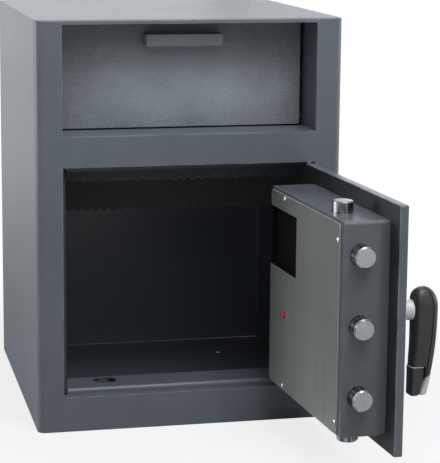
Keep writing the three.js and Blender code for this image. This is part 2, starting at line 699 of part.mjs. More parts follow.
function hopperTray() {
  const half = PANEL_HALF - GAP;
  const face = PANEL_Y + PANEL_SHEET + GAP;
  const startY = face;
  const endY = startY + TRAY_LENGTH * Math.cos(TRAY_SLOPE);
  const endZ = TRAY_START_Z + TRAY_LENGTH * Math.sin(TRAY_SLOPE);
  const flangeTop = TRAY_START_Z + TRAY_LENGTH / 3;
  const floorShape = folded(
    [
      [startY, flangeTop],
      [startY, TRAY_START_Z],
      [endY, endZ],
    ],
    THIN,
    BEND_R,
  );
  const floor = push(floorShape, "x", -half, half);
  const radius = Math.hypot(endY - HOPPER_PIVOT_Y, endZ - HOPPER_PIVOT_Z);
  const from = Math.atan2(endZ - HOPPER_PIVOT_Z, endY - HOPPER_PIVOT_Y);
  const to = Math.acos((startY - HOPPER_PIVOT_Y) / radius);
  const steps = 16;
  const arc = Array.from({ length: steps + 1 }, (_, i) => {
    const angle = from + ((to - from) * i) / steps;
    return [HOPPER_PIVOT_Y + radius * Math.cos(angle), HOPPER_PIVOT_Z + radius * Math.sin(angle)];
  });
  const cheek = polygon([[startY, TRAY_START_Z], ...arc]);
  const cheeks = [-1, 1].map((side) => {
    const x = [side * half, side * (half - THIN)].sort((a, b) => a - b);
    return push(cheek, "x", x[0], x[1]);
  });
  const pinR = HOPPER_PIN_R + GAP;
  const pins = round("x", [HOPPER_PIVOT_Y, HOPPER_PIVOT_Z], -HALF, HALF, pinR, SMALL_ROUND);
  return cut(join(floor, ...cheeks), pins);
}
onBody("hopper_tray", hopperTray(), "inner");

function hopperPull() {
  const front = PANEL_Y - PULL_PROUD;
  const back = PANEL_Y - GAP;
  const shape = roundedRectangle([PULL_Z0, PULL_Z1 + PULL_PROUD], [-PULL_HALF, PULL_HALF], THIN);
  const outer = push(shape, "y", front, back + PULL_PROUD, THIN / 2);
  const keep = block([-PULL_HALF, PULL_HALF], [front, back], [PULL_Z0, PULL_Z1]);
  const room = block(
    [-PULL_HALF + PANEL_SHEET, PULL_HALF - PANEL_SHEET],
    [front + PANEL_SHEET, back + THIN],
    [PULL_Z0 + PANEL_SHEET, PULL_Z1 + THIN],
  );
  return cut(outer.intersect(keep), room);
}
onBody("hopper_pull", hopperPull(), "panel");

// Door hinge

const WASHER_R = 4.5;
function hingeWasher() {
  const ring = round("z", [HINGE_X, HINGE_Y], DOOR_Z0 + GAP, PLATE_Z0 - GAP, WASHER_R, SMALL_ROUND);
  return cut(ring, round("z", [HINGE_X, HINGE_Y], 0, DOOR_Z1, HINGE_PIN_R + GAP, SMALL_ROUND));
}
onBody("hinge_washer", hingeWasher(), "zinc");

const PIN_INTO_FRAME = DOOR_Z1 + CHANNEL_SHEET - PLATE_Z1;
function hingePin(z0, z1) {
  return round("z", [HINGE_X, HINGE_Y], z0, z1, HINGE_PIN_R, SMALL_ROUND);
}
onDoor(
  "hinge_pin_top",
  hingePin(PLATE_Z1 + PIN_INTO_FRAME - HINGE_PIN_LENGTH, PLATE_Z1 + PIN_INTO_FRAME),
  "zinc",
);
onDoor(
  "hinge_pin_bottom",
  hingePin(DOOR_Z0 - CHANNEL_SHEET, DOOR_Z0 - CHANNEL_SHEET + HINGE_PIN_LENGTH),
  "zinc",
);

// Door plate

const BUSH_R = 9;
const BUSH_FLANGE_R = 12;
const BUSH_FLANGE = 2.4;
const CABLE_HOLE_R = 7;

function doorPlate() {
  const shape = roundedRectangle([PLATE_Z0, PLATE_Z1], [-PLATE_HALF, PLATE_HALF], THIN);
  const plate = push(shape, "y", PLATE_Y0, PLATE_Y1, PLATE_BEVEL);
  const corner = [
    [PLATE_HALF - HINGE_EDGE_BEVEL, PLATE_Y1 + GAP],
    [PLATE_HALF + GAP, PLATE_Y1 - HINGE_EDGE_BEVEL],
    [PLATE_HALF + THIN, PLATE_Y1 + THIN],
  ];
  const slope = push(polygon(corner), "z", 0, HEIGHT);
  const pinR = HINGE_PIN_R + GAP;
  const topHole = round(
    "z",
    [HINGE_X, HINGE_Y],
    PLATE_Z1 + PIN_INTO_FRAME - HINGE_PIN_LENGTH - GAP,
    HEIGHT,
    pinR,
    SMALL_ROUND,
  );
  const bottomHole = round(
    "z",
    [HINGE_X, HINGE_Y],
    0,
    DOOR_Z0 - CHANNEL_SHEET + HINGE_PIN_LENGTH + GAP,
    pinR,
    SMALL_ROUND,
  );
  const spindleHole = round("y", [SPINDLE_Z, SPINDLE_X], 0, STOP_Y, BUSH_R + GAP);
  const cableHole = round("y", [KEYPAD_Z, KEYPAD_X], 0, STOP_Y, CABLE_HOLE_R, SMALL_ROUND);
  return cut(plate, slope, topHole, bottomHole, spindleHole, cableHole);
}
onDoor("door_plate", doorPlate(), "body");

function spindleBush() {
  const profile = [
    [0, PLATE_Y0],
    [BUSH_R, PLATE_Y0],
    [BUSH_R, PLATE_Y1 + GAP],
    [BUSH_FLANGE_R, PLATE_Y1 + GAP],
    [BUSH_FLANGE_R, PLATE_Y1 + GAP + BUSH_FLANGE],
    [0, PLATE_Y1 + GAP + BUSH_FLANGE],
  ];
  const bush = turned("y", [SPINDLE_Z, SPINDLE_X], profile);
  return cut(bush, round("y", [SPINDLE_Z, SPINDLE_X], -STOP_Y, 2 * STOP_Y, SPINDLE_R + GAP));
}
onDoor("spindle_bush", spindleBush(), "zinc");

// Lock case, its cover and screws

const RIM_BACK = CASE_Y1 - CASE_SHEET;

function lockCase() {
  const outline = roundedRectangle([CASE_Z0, CASE_Z1], [CASE_X0, CASE_X1], 2 * CASE_EDGE);
  const whole = push(outline, "y", -STOP_Y, CASE_Y1, CASE_EDGE);
  const keep = block([CASE_X0, CASE_X1], [CASE_Y0, CASE_Y1], [CASE_Z0, CASE_Z1]);
  const inside = block(
    [CASE_X0 + CASE_SHEET, CASE_X1 - CASE_SHEET],
    [0, RIM_BACK],
    [CASE_Z0 + CASE_SHEET, CASE_Z1 - CASE_SHEET],
  );
  const mouth = block(
    [CASE_X0 + CASE_RIM, CASE_X1 - CASE_RIM],
    [0, CASE_Y1 + CASE_SHEET],
    [CASE_Z0 + CASE_RIM, CASE_Z1 - CASE_RIM],
  );
  const notch = block(
    [BATTERY_X0 - GAP, CASE_X1 - CASE_SHEET],
    [RIM_BACK - GAP, CASE_Y1 + CASE_SHEET],
    [BATTERY_Z0 - GAP, BATTERY_Z1 + GAP],
  );
  const sideHoles = SIDE_BOLT_Z.map((z) =>
    round("x", [BOLT_Y, z], CASE_X0 - CASE_SHEET, CASE_X0 + 2 * CASE_SHEET, BOLT_HOLE_R),
  );
  const topHole = round(
    "z",
    [TOP_BOLT_X, BOLT_Y],
    CASE_Z1 - 2 * CASE_SHEET,
    CASE_Z1 + CASE_SHEET,
    BOLT_HOLE_R,
  );
  const bottomHole = round(
    "z",
    [BOTTOM_BOLT_X, BOLT_Y],
    CASE_Z0 - CASE_SHEET,
    CASE_Z0 + 2 * CASE_SHEET,
    BOLT_HOLE_R,
  );
  return cut(whole.intersect(keep), inside, mouth, notch, ...sideHoles, topHole, bottomHole);
}

const SCREW_INSET = 4.6;
const SCREW_SHANK_R = 1.6;
const SCREW_SHANK = 5;
const SCREW_HINGE_INSET = 49.6;
const SCREW_HEAD_INSET = 18.5;
const SCREW_FOOT_INSET = 13.5;
const SCREW_X = COVER_X1 - SCREW_HINGE_INSET;
const SCREW_Z = [COVER_Z1 - SCREW_HEAD_INSET, COVER_Z0 + SCREW_FOOT_INSET];
const COVER_SCREWS = [
  [SCREW_X, COVER_Z1 - SCREW_INSET],
  [COVER_X0 + SCREW_INSET, SCREW_Z[0]],
  [COVER_X0 + SCREW_INSET, SCREW_Z[1]],
  [SCREW_X, COVER_Z0 + SCREW_INSET],
];

function screwHoles(y0, y1) {
  return COVER_SCREWS.map(([x, z]) =>
    round("y", [z, x], y0, y1, SCREW_SHANK_R + GAP, SMALL_ROUND),
  );
}

onDoor("lock_case", cut(lockCase(), ...screwHoles(RIM_BACK - GAP, CASE_Y1 + GAP)), "body");

function coverPanel() {
  const outline = roundedRectangle([COVER_Z0, COVER_Z1], [COVER_X0, COVER_X1], COVER_CORNER_R);
  const sheet = push(outline, "y", COVER_Y0, COVER_Y1);
  const through = [COVER_Y0 - THIN, COVER_Y1 + THIN];
  const window = block([BATTERY_X0 - GAP, COVER_X1 + THIN], through, [
    BATTERY_Z0 - GAP,
    BATTERY_Z1 + GAP,
  ]);
  const button = round("y", [RESET_Z, RESET_X], ...through, RESET_R + GAP, SMALL_ROUND);
  const pinhole = round("y", [RESET_Z - PINHOLE_DROP, RESET_X], ...through, PINHOLE_R, SMALL_ROUND);
  return cut(sheet, window, button, pinhole, ...screwHoles(...through));
}
onDoor("cover_panel", coverPanel(), "cover");

COVER_SCREWS.forEach(([x, z], i) => {
  const seat = COVER_Y1 + GAP;
  const profile = [
    [0, seat - SCREW_SHANK],
    [SCREW_SHANK_R, seat - SCREW_SHANK],
    [SCREW_SHANK_R, seat],
    [COVER_SCREW_R, seat],
    [COVER_SCREW_R, seat + COVER_SCREW_HEAD / 2],
    [COVER_SCREW_R * 0.7, seat + COVER_SCREW_HEAD],
    [0, seat + COVER_SCREW_HEAD],
  ];
  const screw = turned("y", [z, x], profile, SMALL_ROUND);
  const slotHalf = COVER_SCREW_R / 7;
  const slot = block(
    [x - COVER_SCREW_R, x + COVER_SCREW_R],
    [seat + COVER_SCREW_HEAD / 2, seat + 2 * COVER_SCREW_HEAD],
    [z - slotHalf, z + slotHalf],
  );
  const cross = block(
    [x - slotHalf, x + slotHalf],
    [seat + COVER_SCREW_HEAD / 2, seat + 2 * COVER_SCREW_HEAD],
    [z - COVER_SCREW_R / 2, z + COVER_SCREW_R / 2],
  );
  onDoor("cover_screw_" + (i + 1), cut(screw, slot, cross), "steel");
});

// Battery compartment

const BATTERY_X1 = COVER_X1;

function batteryBox() {
  const outer = block([BATTERY_X0, BATTERY_X1], [BATTERY_FLOOR_Y, COVER_Y1 - GAP], [
    BATTERY_Z0,
    BATTERY_Z1,
  ]);
  const room = block(
    [BATTERY_X0 + BATTERY_WALL, BATTERY_X1 - BATTERY_WALL],
    [BATTERY_FLOOR_Y + BATTERY_WALL, COVER_Y1 + THIN],
    [BATTERY_Z0 + BATTERY_WALL, BATTERY_Z1 - BATTERY_WALL],
  );
  const ledgeDepth = [BATTERY_LID_Y - 2 * THIN, BATTERY_LID_Y - GAP];
  const ledge = block(
    [BATTERY_X0, BATTERY_X0 + BATTERY_WALL + THIN],
    ledgeDepth,
    [BATTERY_Z0 + BATTERY_WALL, BATTERY_Z1 - BATTERY_WALL],
  );
  return join(cut(outer, room), ledge);
}
onDoor("battery_box", batteryBox(), "black");

function batteryLid() {
  const inset = BATTERY_WALL + BATTERY_LID_CLEARANCE;
  const x0 = BATTERY_X0 + inset;
  const x1 = BATTERY_X1 - BATTERY_HINGE_INSET;
  const depth = [BATTERY_LID_Y, BATTERY_LID_Y + BATTERY_LID_SHEET];
  const lid = block([x0, x1], depth, [BATTERY_Z0 + inset, BATTERY_Z1 - inset]);
  const middle = (BATTERY_Z0 + BATTERY_Z1) / 2;
  const across = [middle - CATCH_HEIGHT / 2, middle + CATCH_HEIGHT / 2];
  const sunk = depth[1] - BATTERY_LID_SHEET / 2;
  const catchRib = block([x0 + GAP, x0 + CATCH_WIDTH], [sunk, depth[1] + CATCH_PROUD], across);
  const fingerRoom = block([x0 + CATCH_WIDTH, x0 + 2 * CATCH_WIDTH], [sunk, depth[1] + THIN], across);
  return join(cut(lid, fingerRoom), catchRib);
}
onDoor("battery_lid", batteryLid(), "black");

// Lock and reset module inside the case

function lockBody() {
  const outline = roundedRectangle([LOCK_Z0, LOCK_Z1], [LOCK_X0, LOCK_X1], THIN);
  const body = push(outline, "y", LOCK_Y0, LOCK_Y1);
  const bore = round("z", [PLUNGER_X, BOLT_Y], LOCK_Z0 + THIN, LOCK_Z1 + THIN, PLUNGER_R + GAP, SMALL_ROUND);
  const foot = block([LOCK_X0 + THIN, LOCK_X1 - THIN], [CASE_Y0, LOCK_Y0 + THIN], [
    LOCK_Z0 + THIN,
    LOCK_Z0 + 3 * THIN,
  ]);
  return cut(join(body, foot), bore);
}
onDoor("lock_body", lockBody(), "zinc");

function plunger() {
  return round("z", [PLUNGER_X, BOLT_Y], PLUNGER_TIP - PLUNGER_LENGTH, PLUNGER_TIP, PLUNGER_R, SMALL_ROUND);
}
onDoor("lock_plunger", plunger(), "steel");

const RESET_Y1 = COVER_Y1 + RESET_PROUD;
function resetModule() {
  const body = block(
    [RESET_X - MODULE_HALF_X, RESET_X + MODULE_HALF_X],
    [MODULE_Y0, COVER_Y0 - GAP],
    [RESET_Z - MODULE_HALF_Z, RESET_Z + MODULE_HALF_Z],
  );
  const well = round(
    "y",
    [RESET_Z, RESET_X],
    RESET_Y1 - RESET_LENGTH - THIN,
    COVER_Y1,
    RESET_R + GAP,
    SMALL_ROUND,
  );
  return cut(body, well);
}
onDoor("reset_module", resetModule(), "black");

function resetButton() {
  const profile = [
    [0, RESET_Y1 - RESET_LENGTH],
    [RESET_R, RESET_Y1 - RESET_LENGTH],
    [RESET_R, RESET_Y1 - RESET_PROUD / 3],
    [RESET_R * 0.8, RESET_Y1],
    [0, RESET_Y1],
  ];
  return turned("y", [RESET_Z, RESET_X], profile, SMALL_ROUND);
}
onDoor("reset_button", resetButton(), "red");

// Bolts

function boltProfile(tail, tip) {
  const way = Math.sign(tip - tail);
  const profile = [
    [0, tail],
    [BOLT_R, tail],
    [BOLT_R, tip - way * BOLT_CHAMFER],
    [BOLT_R - BOLT_CHAMFER, tip],
    [0, tip],
  ];
  return way > 0 ? profile : profile.reverse();
}

const BOLT_TAIL_X = SIDE_BOLT_TIP + SIDE_BOLT_LENGTH;
const DRIVE_PIN_X = SPINDLE_X - CAM_PIN_START;
const DRIVE_PIN_SEAT = 8;
const DRIVE_PIN_Y0 = CAM_Y0;
const DRIVE_PIN_Y1 = BOLT_Y - BOLT_R + DRIVE_PIN_SEAT;

SIDE_BOLT_Z.forEach((z, i) => {
  const bolt = turned("x", [BOLT_Y, z], boltProfile(BOLT_TAIL_X, SIDE_BOLT_TIP));
  const hole = round("y", [SPINDLE_Z, DRIVE_PIN_X], 0, DRIVE_PIN_Y1 + GAP, CAM_PIN_R + GAP, SMALL_ROUND);
  onDoor("side_bolt_" + (i + 1), i === 1 ? cut(bolt, hole) : bolt, "steel");
});

function drivePin() {
  return round("y", [SPINDLE_Z, DRIVE_PIN_X], DRIVE_PIN_Y0, DRIVE_PIN_Y1, CAM_PIN_R, SMALL_ROUND);
}
onDoor("drive_pin", drivePin(), "zinc");

const BAR_X0 = BOLT_TAIL_X + GAP;
const BAR_X1 = BAR_X0 + BAR_SHEET;

function boltBar() {
  const bar = block([BAR_X0, BAR_X1], [BAR_Y0, BAR_Y1], [BAR_Z0, BAR_Z1]);
  const tabZ = [LATCH_TAB_Z, LATCH_TAB_Z + LATCH_TAB_SHEET];
  const tab = block([BAR_X0, LATCH_TAB_END], [BAR_Y0 + THIN, BAR_Y1 - THIN], tabZ);
  const keeps = [PLUNGER_X, PLUNGER_X + THROW].map((x) =>
    round("z", [x, BOLT_Y], tabZ[0] - THIN, tabZ[1] + THIN, PLUNGER_R + 2 * GAP, SMALL_ROUND),
  );
  return cut(join(bar, tab), ...keeps);
}
onDoor("bolt_bar", boltBar(), "zinc");

const topBolt = turned("z", [TOP_BOLT_X, BOLT_Y], boltProfile(TOP_BOLT_TAIL, TOP_BOLT_TIP));
const bottomBolt = turned("z", [BOTTOM_BOLT_X, BOLT_Y], boltProfile(BOTTOM_BOLT_TAIL, BOTTOM_BOLT_TIP));
onDoor("top_bolt", topBolt, "steel");
onDoor("bottom_bolt", bottomBolt, "steel");

// A flat rod from the cam pin to the tail of a bolt, bent back under the bolt
function boltRod(pinZ, boltX, tailZ, way) {
  const endZ = pinZ - way * (CAM_PIN_R + ROD_SHEET);
  const bends = ROD_BEND_SHARES.map((share) => pinZ + (tailZ - pinZ) * share);
  const outline = [
    [endZ, SPINDLE_X - ROD_HALF],
    [bends[0], SPINDLE_X - ROD_HALF],
    [bends[1], boltX - ROD_HALF],
    [tailZ, boltX - ROD_HALF],
    [tailZ, boltX + ROD_HALF],
    [bends[1], boltX + ROD_HALF],
    [bends[0], SPINDLE_X + ROD_HALF],
    [endZ, SPINDLE_X + ROD_HALF],
  ];
  const flat = push(polygon(way > 0 ? outline.reverse() : outline), "y", ROD_Y0, ROD_Y0 + ROD_SHEET);
  const heel = [tailZ, tailZ - way * ROD_SHEET].sort((a, b) => a - b);
  const foot = block([boltX - ROD_HALF, boltX + ROD_HALF], [ROD_Y0, BOLT_Y + BOLT_R], heel);
  const hole = round("y", [pinZ, SPINDLE_X], 0, CAM_Y1, CAM_PIN_R + GAP, SMALL_ROUND);
  return cut(join(flat, foot), hole);
}

const TOP_PIN_Z = SPINDLE_Z + CAM_PIN_START;
const BOTTOM_PIN_Z = SPINDLE_Z - CAM_PIN_START;
onDoor("top_bolt_rod", boltRod(TOP_PIN_Z, TOP_BOLT_X, TOP_BOLT_TAIL - GAP, 1), "zinc");
onDoor("bottom_bolt_rod", boltRod(BOTTOM_PIN_Z, BOTTOM_BOLT_X, BOTTOM_BOLT_TAIL + GAP, -1), "zinc");

function rodPin(z) {
  return round("y", [z, SPINDLE_X], ROD_Y0, CAM_Y1 + THIN, CAM_PIN_R, SMALL_ROUND);
}
onDoor("top_rod_pin", rodPin(TOP_PIN_Z), "zinc");
onDoor("bottom_rod_pin", rodPin(BOTTOM_PIN_Z), "zinc");

// Handle, spindle and cam

// Each slot is a spiral whose radius grows evenly with the turn, so a quarter turn of the handle
// moves its pin, and the bolt on it, by the whole throw at an even rate.
function camSlot(direction) {
  const along = [];
  for (let i = 0; i <= CAM_STEPS; i += 1) {
    const share = i / CAM_STEPS;
    const angle = direction - share * (Math.PI / 2);
    const radius = CAM_PIN_START + share * THROW;
    along.push([radius * Math.sin(angle), radius * Math.cos(angle)]);
  }
  const left = offsetLine(along, CAM_SLOT_HALF);
  const right = offsetLine(along, -CAM_SLOT_HALF);
  const outline = polygon([...right, ...left.reverse()].map((p) => [SPINDLE_Z + p[0], SPINDLE_X + p[1]]));
  const depth = [CAM_Y0 - THIN, CAM_Y1 + THIN];
  const ends = [along[0], along[CAM_STEPS]].map((p) =>
    round("y", [SPINDLE_Z + p[0], SPINDLE_X + p[1]], ...depth, CAM_SLOT_HALF, SMALL_ROUND),
  );
  return join(push(outline, "y", ...depth), ...ends);
}

function camDisc() {
  const disc = round("y", [SPINDLE_Z, SPINDLE_X], CAM_Y0, CAM_Y1, CAM_R);
  const half = SPINDLE_SQUARE / 2 + GAP;
  const square = block([SPINDLE_X - half, SPINDLE_X + half], [CAM_Y0 - THIN, CAM_Y1 + THIN], [
    SPINDLE_Z - half,
    SPINDLE_Z + half,
  ]);
  const quarter = Math.PI / 2;
  return cut(disc, square, camSlot(quarter), camSlot(2 * quarter), camSlot(3 * quarter));
}
onDoor("cam_disc", camDisc(), "zinc");

const SPINDLE_Y0 = LEVER_INNER_Y + THIN;
const SQUARE_Y0 = PLATE_Y1 + GAP + BUSH_FLANGE + GAP;
function spindle() {
  const shank = round("y", [SPINDLE_Z, SPINDLE_X], SPINDLE_Y0, SQUARE_Y0, SPINDLE_R);
  const half = SPINDLE_SQUARE / 2;
  const square = block([SPINDLE_X - half, SPINDLE_X + half], [SQUARE_Y0 - THIN, CAM_Y1 + THIN], [
    SPINDLE_Z - half,
    SPINDLE_Z + half,
  ]);
  return join(shank, square);
}
onDoor("spindle", spindle(), "zinc");

function handleStem() {
  const stem = round("y", [SPINDLE_Z, SPINDLE_X], LEVER_INNER_Y + GAP, PLATE_Y0 - GAP, STEM_R);
  return cut(stem, round("y", [SPINDLE_Z, SPINDLE_X], 2 * LEVER_INNER_Y, STOP_Y, SPINDLE_R + GAP));
}
onDoor("handle_stem", handleStem(), "satin");

// The lever: its side profile and its front outline, both pushed through and kept where they meet
const LEVER_Z1 = SPINDLE_Z + LEVER_TOP;
const LEVER_Z0 = SPINDLE_Z - LEVER_DROP;
const LEVER_OUTER_TOP = LEVER_INNER_Y - LEVER_THICK_TOP;
const CAP_Z0 = SPINDLE_Z - CAP_DROP;
const CAP_END_Y = LEVER_INNER_Y - CAP_THICK_END;

function leverProfile() {
  const shape = new THREE.Shape();
  const round0 = LEVER_THICK_TOP / 2;
  shape.moveTo(LEVER_INNER_Y, LEVER_Z1 - round0);
  shape.bezierCurveTo(
    LEVER_INNER_Y,
    LEVER_Z1 - round0 / 3,
    LEVER_INNER_Y - round0 / 3,
    LEVER_Z1,
    LEVER_INNER_Y - round0,
    LEVER_Z1,
  );
  shape.bezierCurveTo(
    LEVER_OUTER_TOP + round0 / 3,
    LEVER_Z1,
    LEVER_OUTER_TOP,
    LEVER_Z1 - round0 / 3,
    LEVER_OUTER_TOP,
    SPINDLE_Z,
  );
  shape.bezierCurveTo(
    LEVER_OUTER_TOP,
    SPINDLE_Z - LEVER_DROP / 3,
    CAP_END_Y - 2 * THIN,
    CAP_Z0 + LEVER_DROP / 4,
    CAP_END_Y,
    CAP_Z0 + CAP_END_RISE,
  );
  shape.lineTo(CAP_END_Y + CAP_END_RISE, LEVER_Z0);
  shape.lineTo(SLEEVE_INNER_Y, LEVER_Z0);
  shape.bezierCurveTo(
    SLEEVE_INNER_Y,
    CAP_Z0 + LEVER_DROP / 3,
    LEVER_INNER_Y,
    CAP_Z0 + LEVER_DROP / 4,
    LEVER_INNER_Y,
    SPINDLE_Z - STEM_R - THIN,
  );
  return shape;
}

function leverOutline() {
  const shape = new THREE.Shape();
  shape.moveTo(LEVER_Z0, SPINDLE_X - LEVER_HALF_END + LEVER_EDGE);
  shape.quadraticCurveTo(
    LEVER_Z0,
    SPINDLE_X - LEVER_HALF_END,
    LEVER_Z0 + 2 * LEVER_EDGE,
    SPINDLE_X - LEVER_HALF_END,
  );
  shape.lineTo(SPINDLE_Z, SPINDLE_X - LEVER_HALF_TOP);
  shape.bezierCurveTo(
    LEVER_Z1,
    SPINDLE_X - LEVER_HALF_TOP,
    LEVER_Z1,
    SPINDLE_X - LEVER_HALF_TOP / 2,
    LEVER_Z1,
    SPINDLE_X,
  );
  shape.bezierCurveTo(
    LEVER_Z1,
    SPINDLE_X + LEVER_HALF_TOP / 2,
    LEVER_Z1,
    SPINDLE_X + LEVER_HALF_TOP,
    SPINDLE_Z,
    SPINDLE_X + LEVER_HALF_TOP,
  );
  shape.lineTo(LEVER_Z0 + 2 * LEVER_EDGE, SPINDLE_X + LEVER_HALF_END);
  shape.quadraticCurveTo(
    LEVER_Z0,
    SPINDLE_X + LEVER_HALF_END,
    LEVER_Z0,
    SPINDLE_X + LEVER_HALF_END - LEVER_EDGE,
  );
  return shape;
}

function leverBody() {
  const sides = push(
    leverProfile(),
    "x",
    SPINDLE_X - LEVER_HALF_TOP,
    SPINDLE_X + LEVER_HALF_TOP,
    LEVER_EDGE,
    LEVER_STEPS,
  );
  const front = push(leverOutline(), "y", 3 * LEVER_INNER_Y, 0, 0, LEVER_STEPS);
  return sides.intersect(front);
}

// The end sleeve sits under the cap's tongue
const SLEEVE_Z1 = SPINDLE_Z - SLEEVE_DROP;

function endSleeve() {
  const profile = polygon([
    [SLEEVE_INNER_Y, LEVER_Z0],
    [SLEEVE_INNER_Y, SLEEVE_Z1],
    [SLEEVE_OUTER_Y, SLEEVE_Z1],
    [SLEEVE_OUTER_Y, CAP_Z0],
    [SLEEVE_OUTER_Y + SLEEVE_TAPER, LEVER_Z0],
  ]);
  const outline = push(leverOutline(), "y", 3 * LEVER_INNER_Y, 0, 0, LEVER_STEPS);
  const sides = [SPINDLE_X - LEVER_HALF_TOP + SLEEVE_EDGE / 2, SPINDLE_X + LEVER_HALF_TOP - SLEEVE_EDGE / 2];
  return push(profile, "x", sides[0], sides[1], SLEEVE_EDGE, LEVER_STEPS).intersect(outline);
}

const sleevePocket = block(
  [-HALF, HALF],
  [SLEEVE_OUTER_Y - GAP, 0],
  [0, SLEEVE_Z1 + GAP],
);
const underCap = push(
  polygon([
    [2 * CAP_END_Y, 0],
    [2 * CAP_END_Y, CAP_Z0 + CAP_END_RISE],
    [CAP_END_Y, CAP_Z0 + CAP_END_RISE],
    [SLEEVE_OUTER_Y, CAP_Z0],
    [SLEEVE_OUTER_Y, 0],
  ]),
  "x",
  -HALF,
  HALF,
);
const lever = leverBody();
const spindleSocket = round(
  "y",
  [SPINDLE_Z, SPINDLE_X],
  SPINDLE_Y0 - 2 * THIN,
  0,
  SPINDLE_R + GAP,
);
onDoor("handle_lever", cut(lever, sleevePocket, underCap, spindleSocket), "black");
onDoor("handle_insert", endSleeve(), "black");

// Keypad

const KEYPAD_Y0 = PLATE_Y0 - GAP;
const KEYPAD_FACE = KEYPAD_Y0 - KEYPAD_THICK;

function keypadHousing() {
  const shape = roundedRectangle(
    [KEYPAD_Z - KEYPAD_HALF_Z, KEYPAD_Z + KEYPAD_HALF_Z],
    [KEYPAD_X - KEYPAD_HALF_X, KEYPAD_X + KEYPAD_HALF_X],
    KEYPAD_CORNER_R,
  );
  const body = push(shape, "y", KEYPAD_FACE, KEYPAD_Y0 + KEYPAD_EDGE, KEYPAD_EDGE);
  const keep = block([-HALF, HALF], [KEYPAD_FACE, KEYPAD_Y0], [0, HEIGHT]);
  const pocket = push(membraneShape(GAP), "y", KEYPAD_FACE - THIN, KEYPAD_FACE + MEMBRANE_SHEET + GAP);
  return cut(body.intersect(keep), pocket);
}

function membraneShape(grow) {
  const halfX = KEYPAD_HALF_X - MEMBRANE_MARGIN + grow;
  const halfZ = KEYPAD_HALF_Z - MEMBRANE_MARGIN + grow;
  return roundedRectangle(
    [KEYPAD_Z - halfZ, KEYPAD_Z + halfZ],
    [KEYPAD_X - halfX, KEYPAD_X + halfX],
    KEYPAD_CORNER_R - KEYPAD_EDGE,
  );
}

function keypadMembrane() {
  const sheet = push(membraneShape(0), "y", KEYPAD_FACE, KEYPAD_FACE + MEMBRANE_SHEET);
  const keys = [];
  for (let column = 0; column < KEY_COLUMNS; column += 1) {
    for (let row = 0; row < KEY_ROWS; row += 1) {
      const x = KEYPAD_X + (column - (KEY_COLUMNS - 1) / 2) * KEY_PITCH_X;
      const z = KEYPAD_Z + (row - (KEY_ROWS - 1) / 2) * KEY_PITCH_Z;
      const across = [x - KEY_HALF_X, x + KEY_HALF_X];
      const shape = roundedRectangle([z - KEY_HALF_Z, z + KEY_HALF_Z], across, KEY_CORNER_R);
      keys.push(push(shape, "y", KEYPAD_FACE - KEY_PROUD, KEYPAD_FACE + KEY_PROUD));
    }
  }
  return join(sheet, ...keys);
}
onDoor("keypad_housing", keypadHousing(), "black");
onDoor("keypad_membrane", keypadMembrane(), "rubber");

root.position.y = -DEPTH / 2;

export default root;
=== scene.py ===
# %% [markdown]
# A drop safe stands with its door open: a steel cabinet, a tilting deposit hopper behind a deep
# recess, and a door that carries a lock case, five round bolts and a lever handle. The solids come
# ready made, in metres, with the joints that move them. This lesson gives them their looks: soft
# edges, paint, plated steel and plastic, a camera and a plain studio. The frame is loaded first, so
# every later cell can ask where a piece is.

import json
import math

import bmesh
import bpy
from mathutils import Matrix, Vector


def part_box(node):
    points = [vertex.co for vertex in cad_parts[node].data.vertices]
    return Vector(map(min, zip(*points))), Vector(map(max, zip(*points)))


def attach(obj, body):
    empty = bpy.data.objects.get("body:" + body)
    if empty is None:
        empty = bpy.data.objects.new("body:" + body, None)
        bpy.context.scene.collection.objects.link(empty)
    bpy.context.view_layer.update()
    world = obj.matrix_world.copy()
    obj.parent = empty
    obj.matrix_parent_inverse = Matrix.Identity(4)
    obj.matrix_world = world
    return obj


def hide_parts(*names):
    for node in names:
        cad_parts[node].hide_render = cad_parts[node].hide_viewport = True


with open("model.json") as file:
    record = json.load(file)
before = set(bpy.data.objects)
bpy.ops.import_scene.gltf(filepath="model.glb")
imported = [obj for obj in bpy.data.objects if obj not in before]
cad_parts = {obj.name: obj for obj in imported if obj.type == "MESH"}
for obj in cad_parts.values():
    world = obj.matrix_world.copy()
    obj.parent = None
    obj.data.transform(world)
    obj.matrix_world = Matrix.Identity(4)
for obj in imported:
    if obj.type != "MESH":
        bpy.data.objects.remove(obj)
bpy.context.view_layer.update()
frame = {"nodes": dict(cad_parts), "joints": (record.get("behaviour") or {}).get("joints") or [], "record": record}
NODES = frame["nodes"]
RECORD = frame["record"]
MM = 0.001
print("pieces of the safe:", len(NODES))

# %% Where a piece belongs
SLOT_OF = {part["node"]: part["material_slot"] for part in RECORD["subparts"]}
BODY_OF = {node: body for body, nodes in RECORD["behaviour"]["bodies"].items() for node in nodes}
DOOR_HINGE = next(joint for joint in frame["joints"] if joint["name"] == "door_hinge")
DOOR_TURN = -math.radians(DOOR_HINGE["range_deg"][0])
print("the door's hinge stands at", DOOR_HINGE["pos_m"])
print("the door is open by", round(math.degrees(DOOR_TURN), 1), "degrees")

# %% [markdown]
# A camera is made before anything else, because it decides which details can be seen. The photograph
# was taken from the left and a little above with a fairly long lens, and its upright lines were
# straightened. A small lens shift gives part of that, and the rest comes from the camera's own turn,
# so the camera can still be moved round the safe without losing it from the picture.

# %% Camera
IMAGE = (440, 463)
FOCAL_PIXELS = 1710.5
SENSOR_MM = 36
CAMERA_PLACE = Vector((-0.42910, -2.18380, 0.64611))
CAMERA_YAW = 0.21629
CAMERA_PITCH = -0.17123
CAMERA_ROLL = 0.00659
CAMERA_SHIFT = (0.05, -0.09)
NEAREST, FARTHEST = 0.05, 30


def in_scene(name, data):
    """An object for some data, at the origin of the scene."""
    item = bpy.data.objects.new(name, data)
    bpy.context.scene.collection.objects.link(item)
    return item


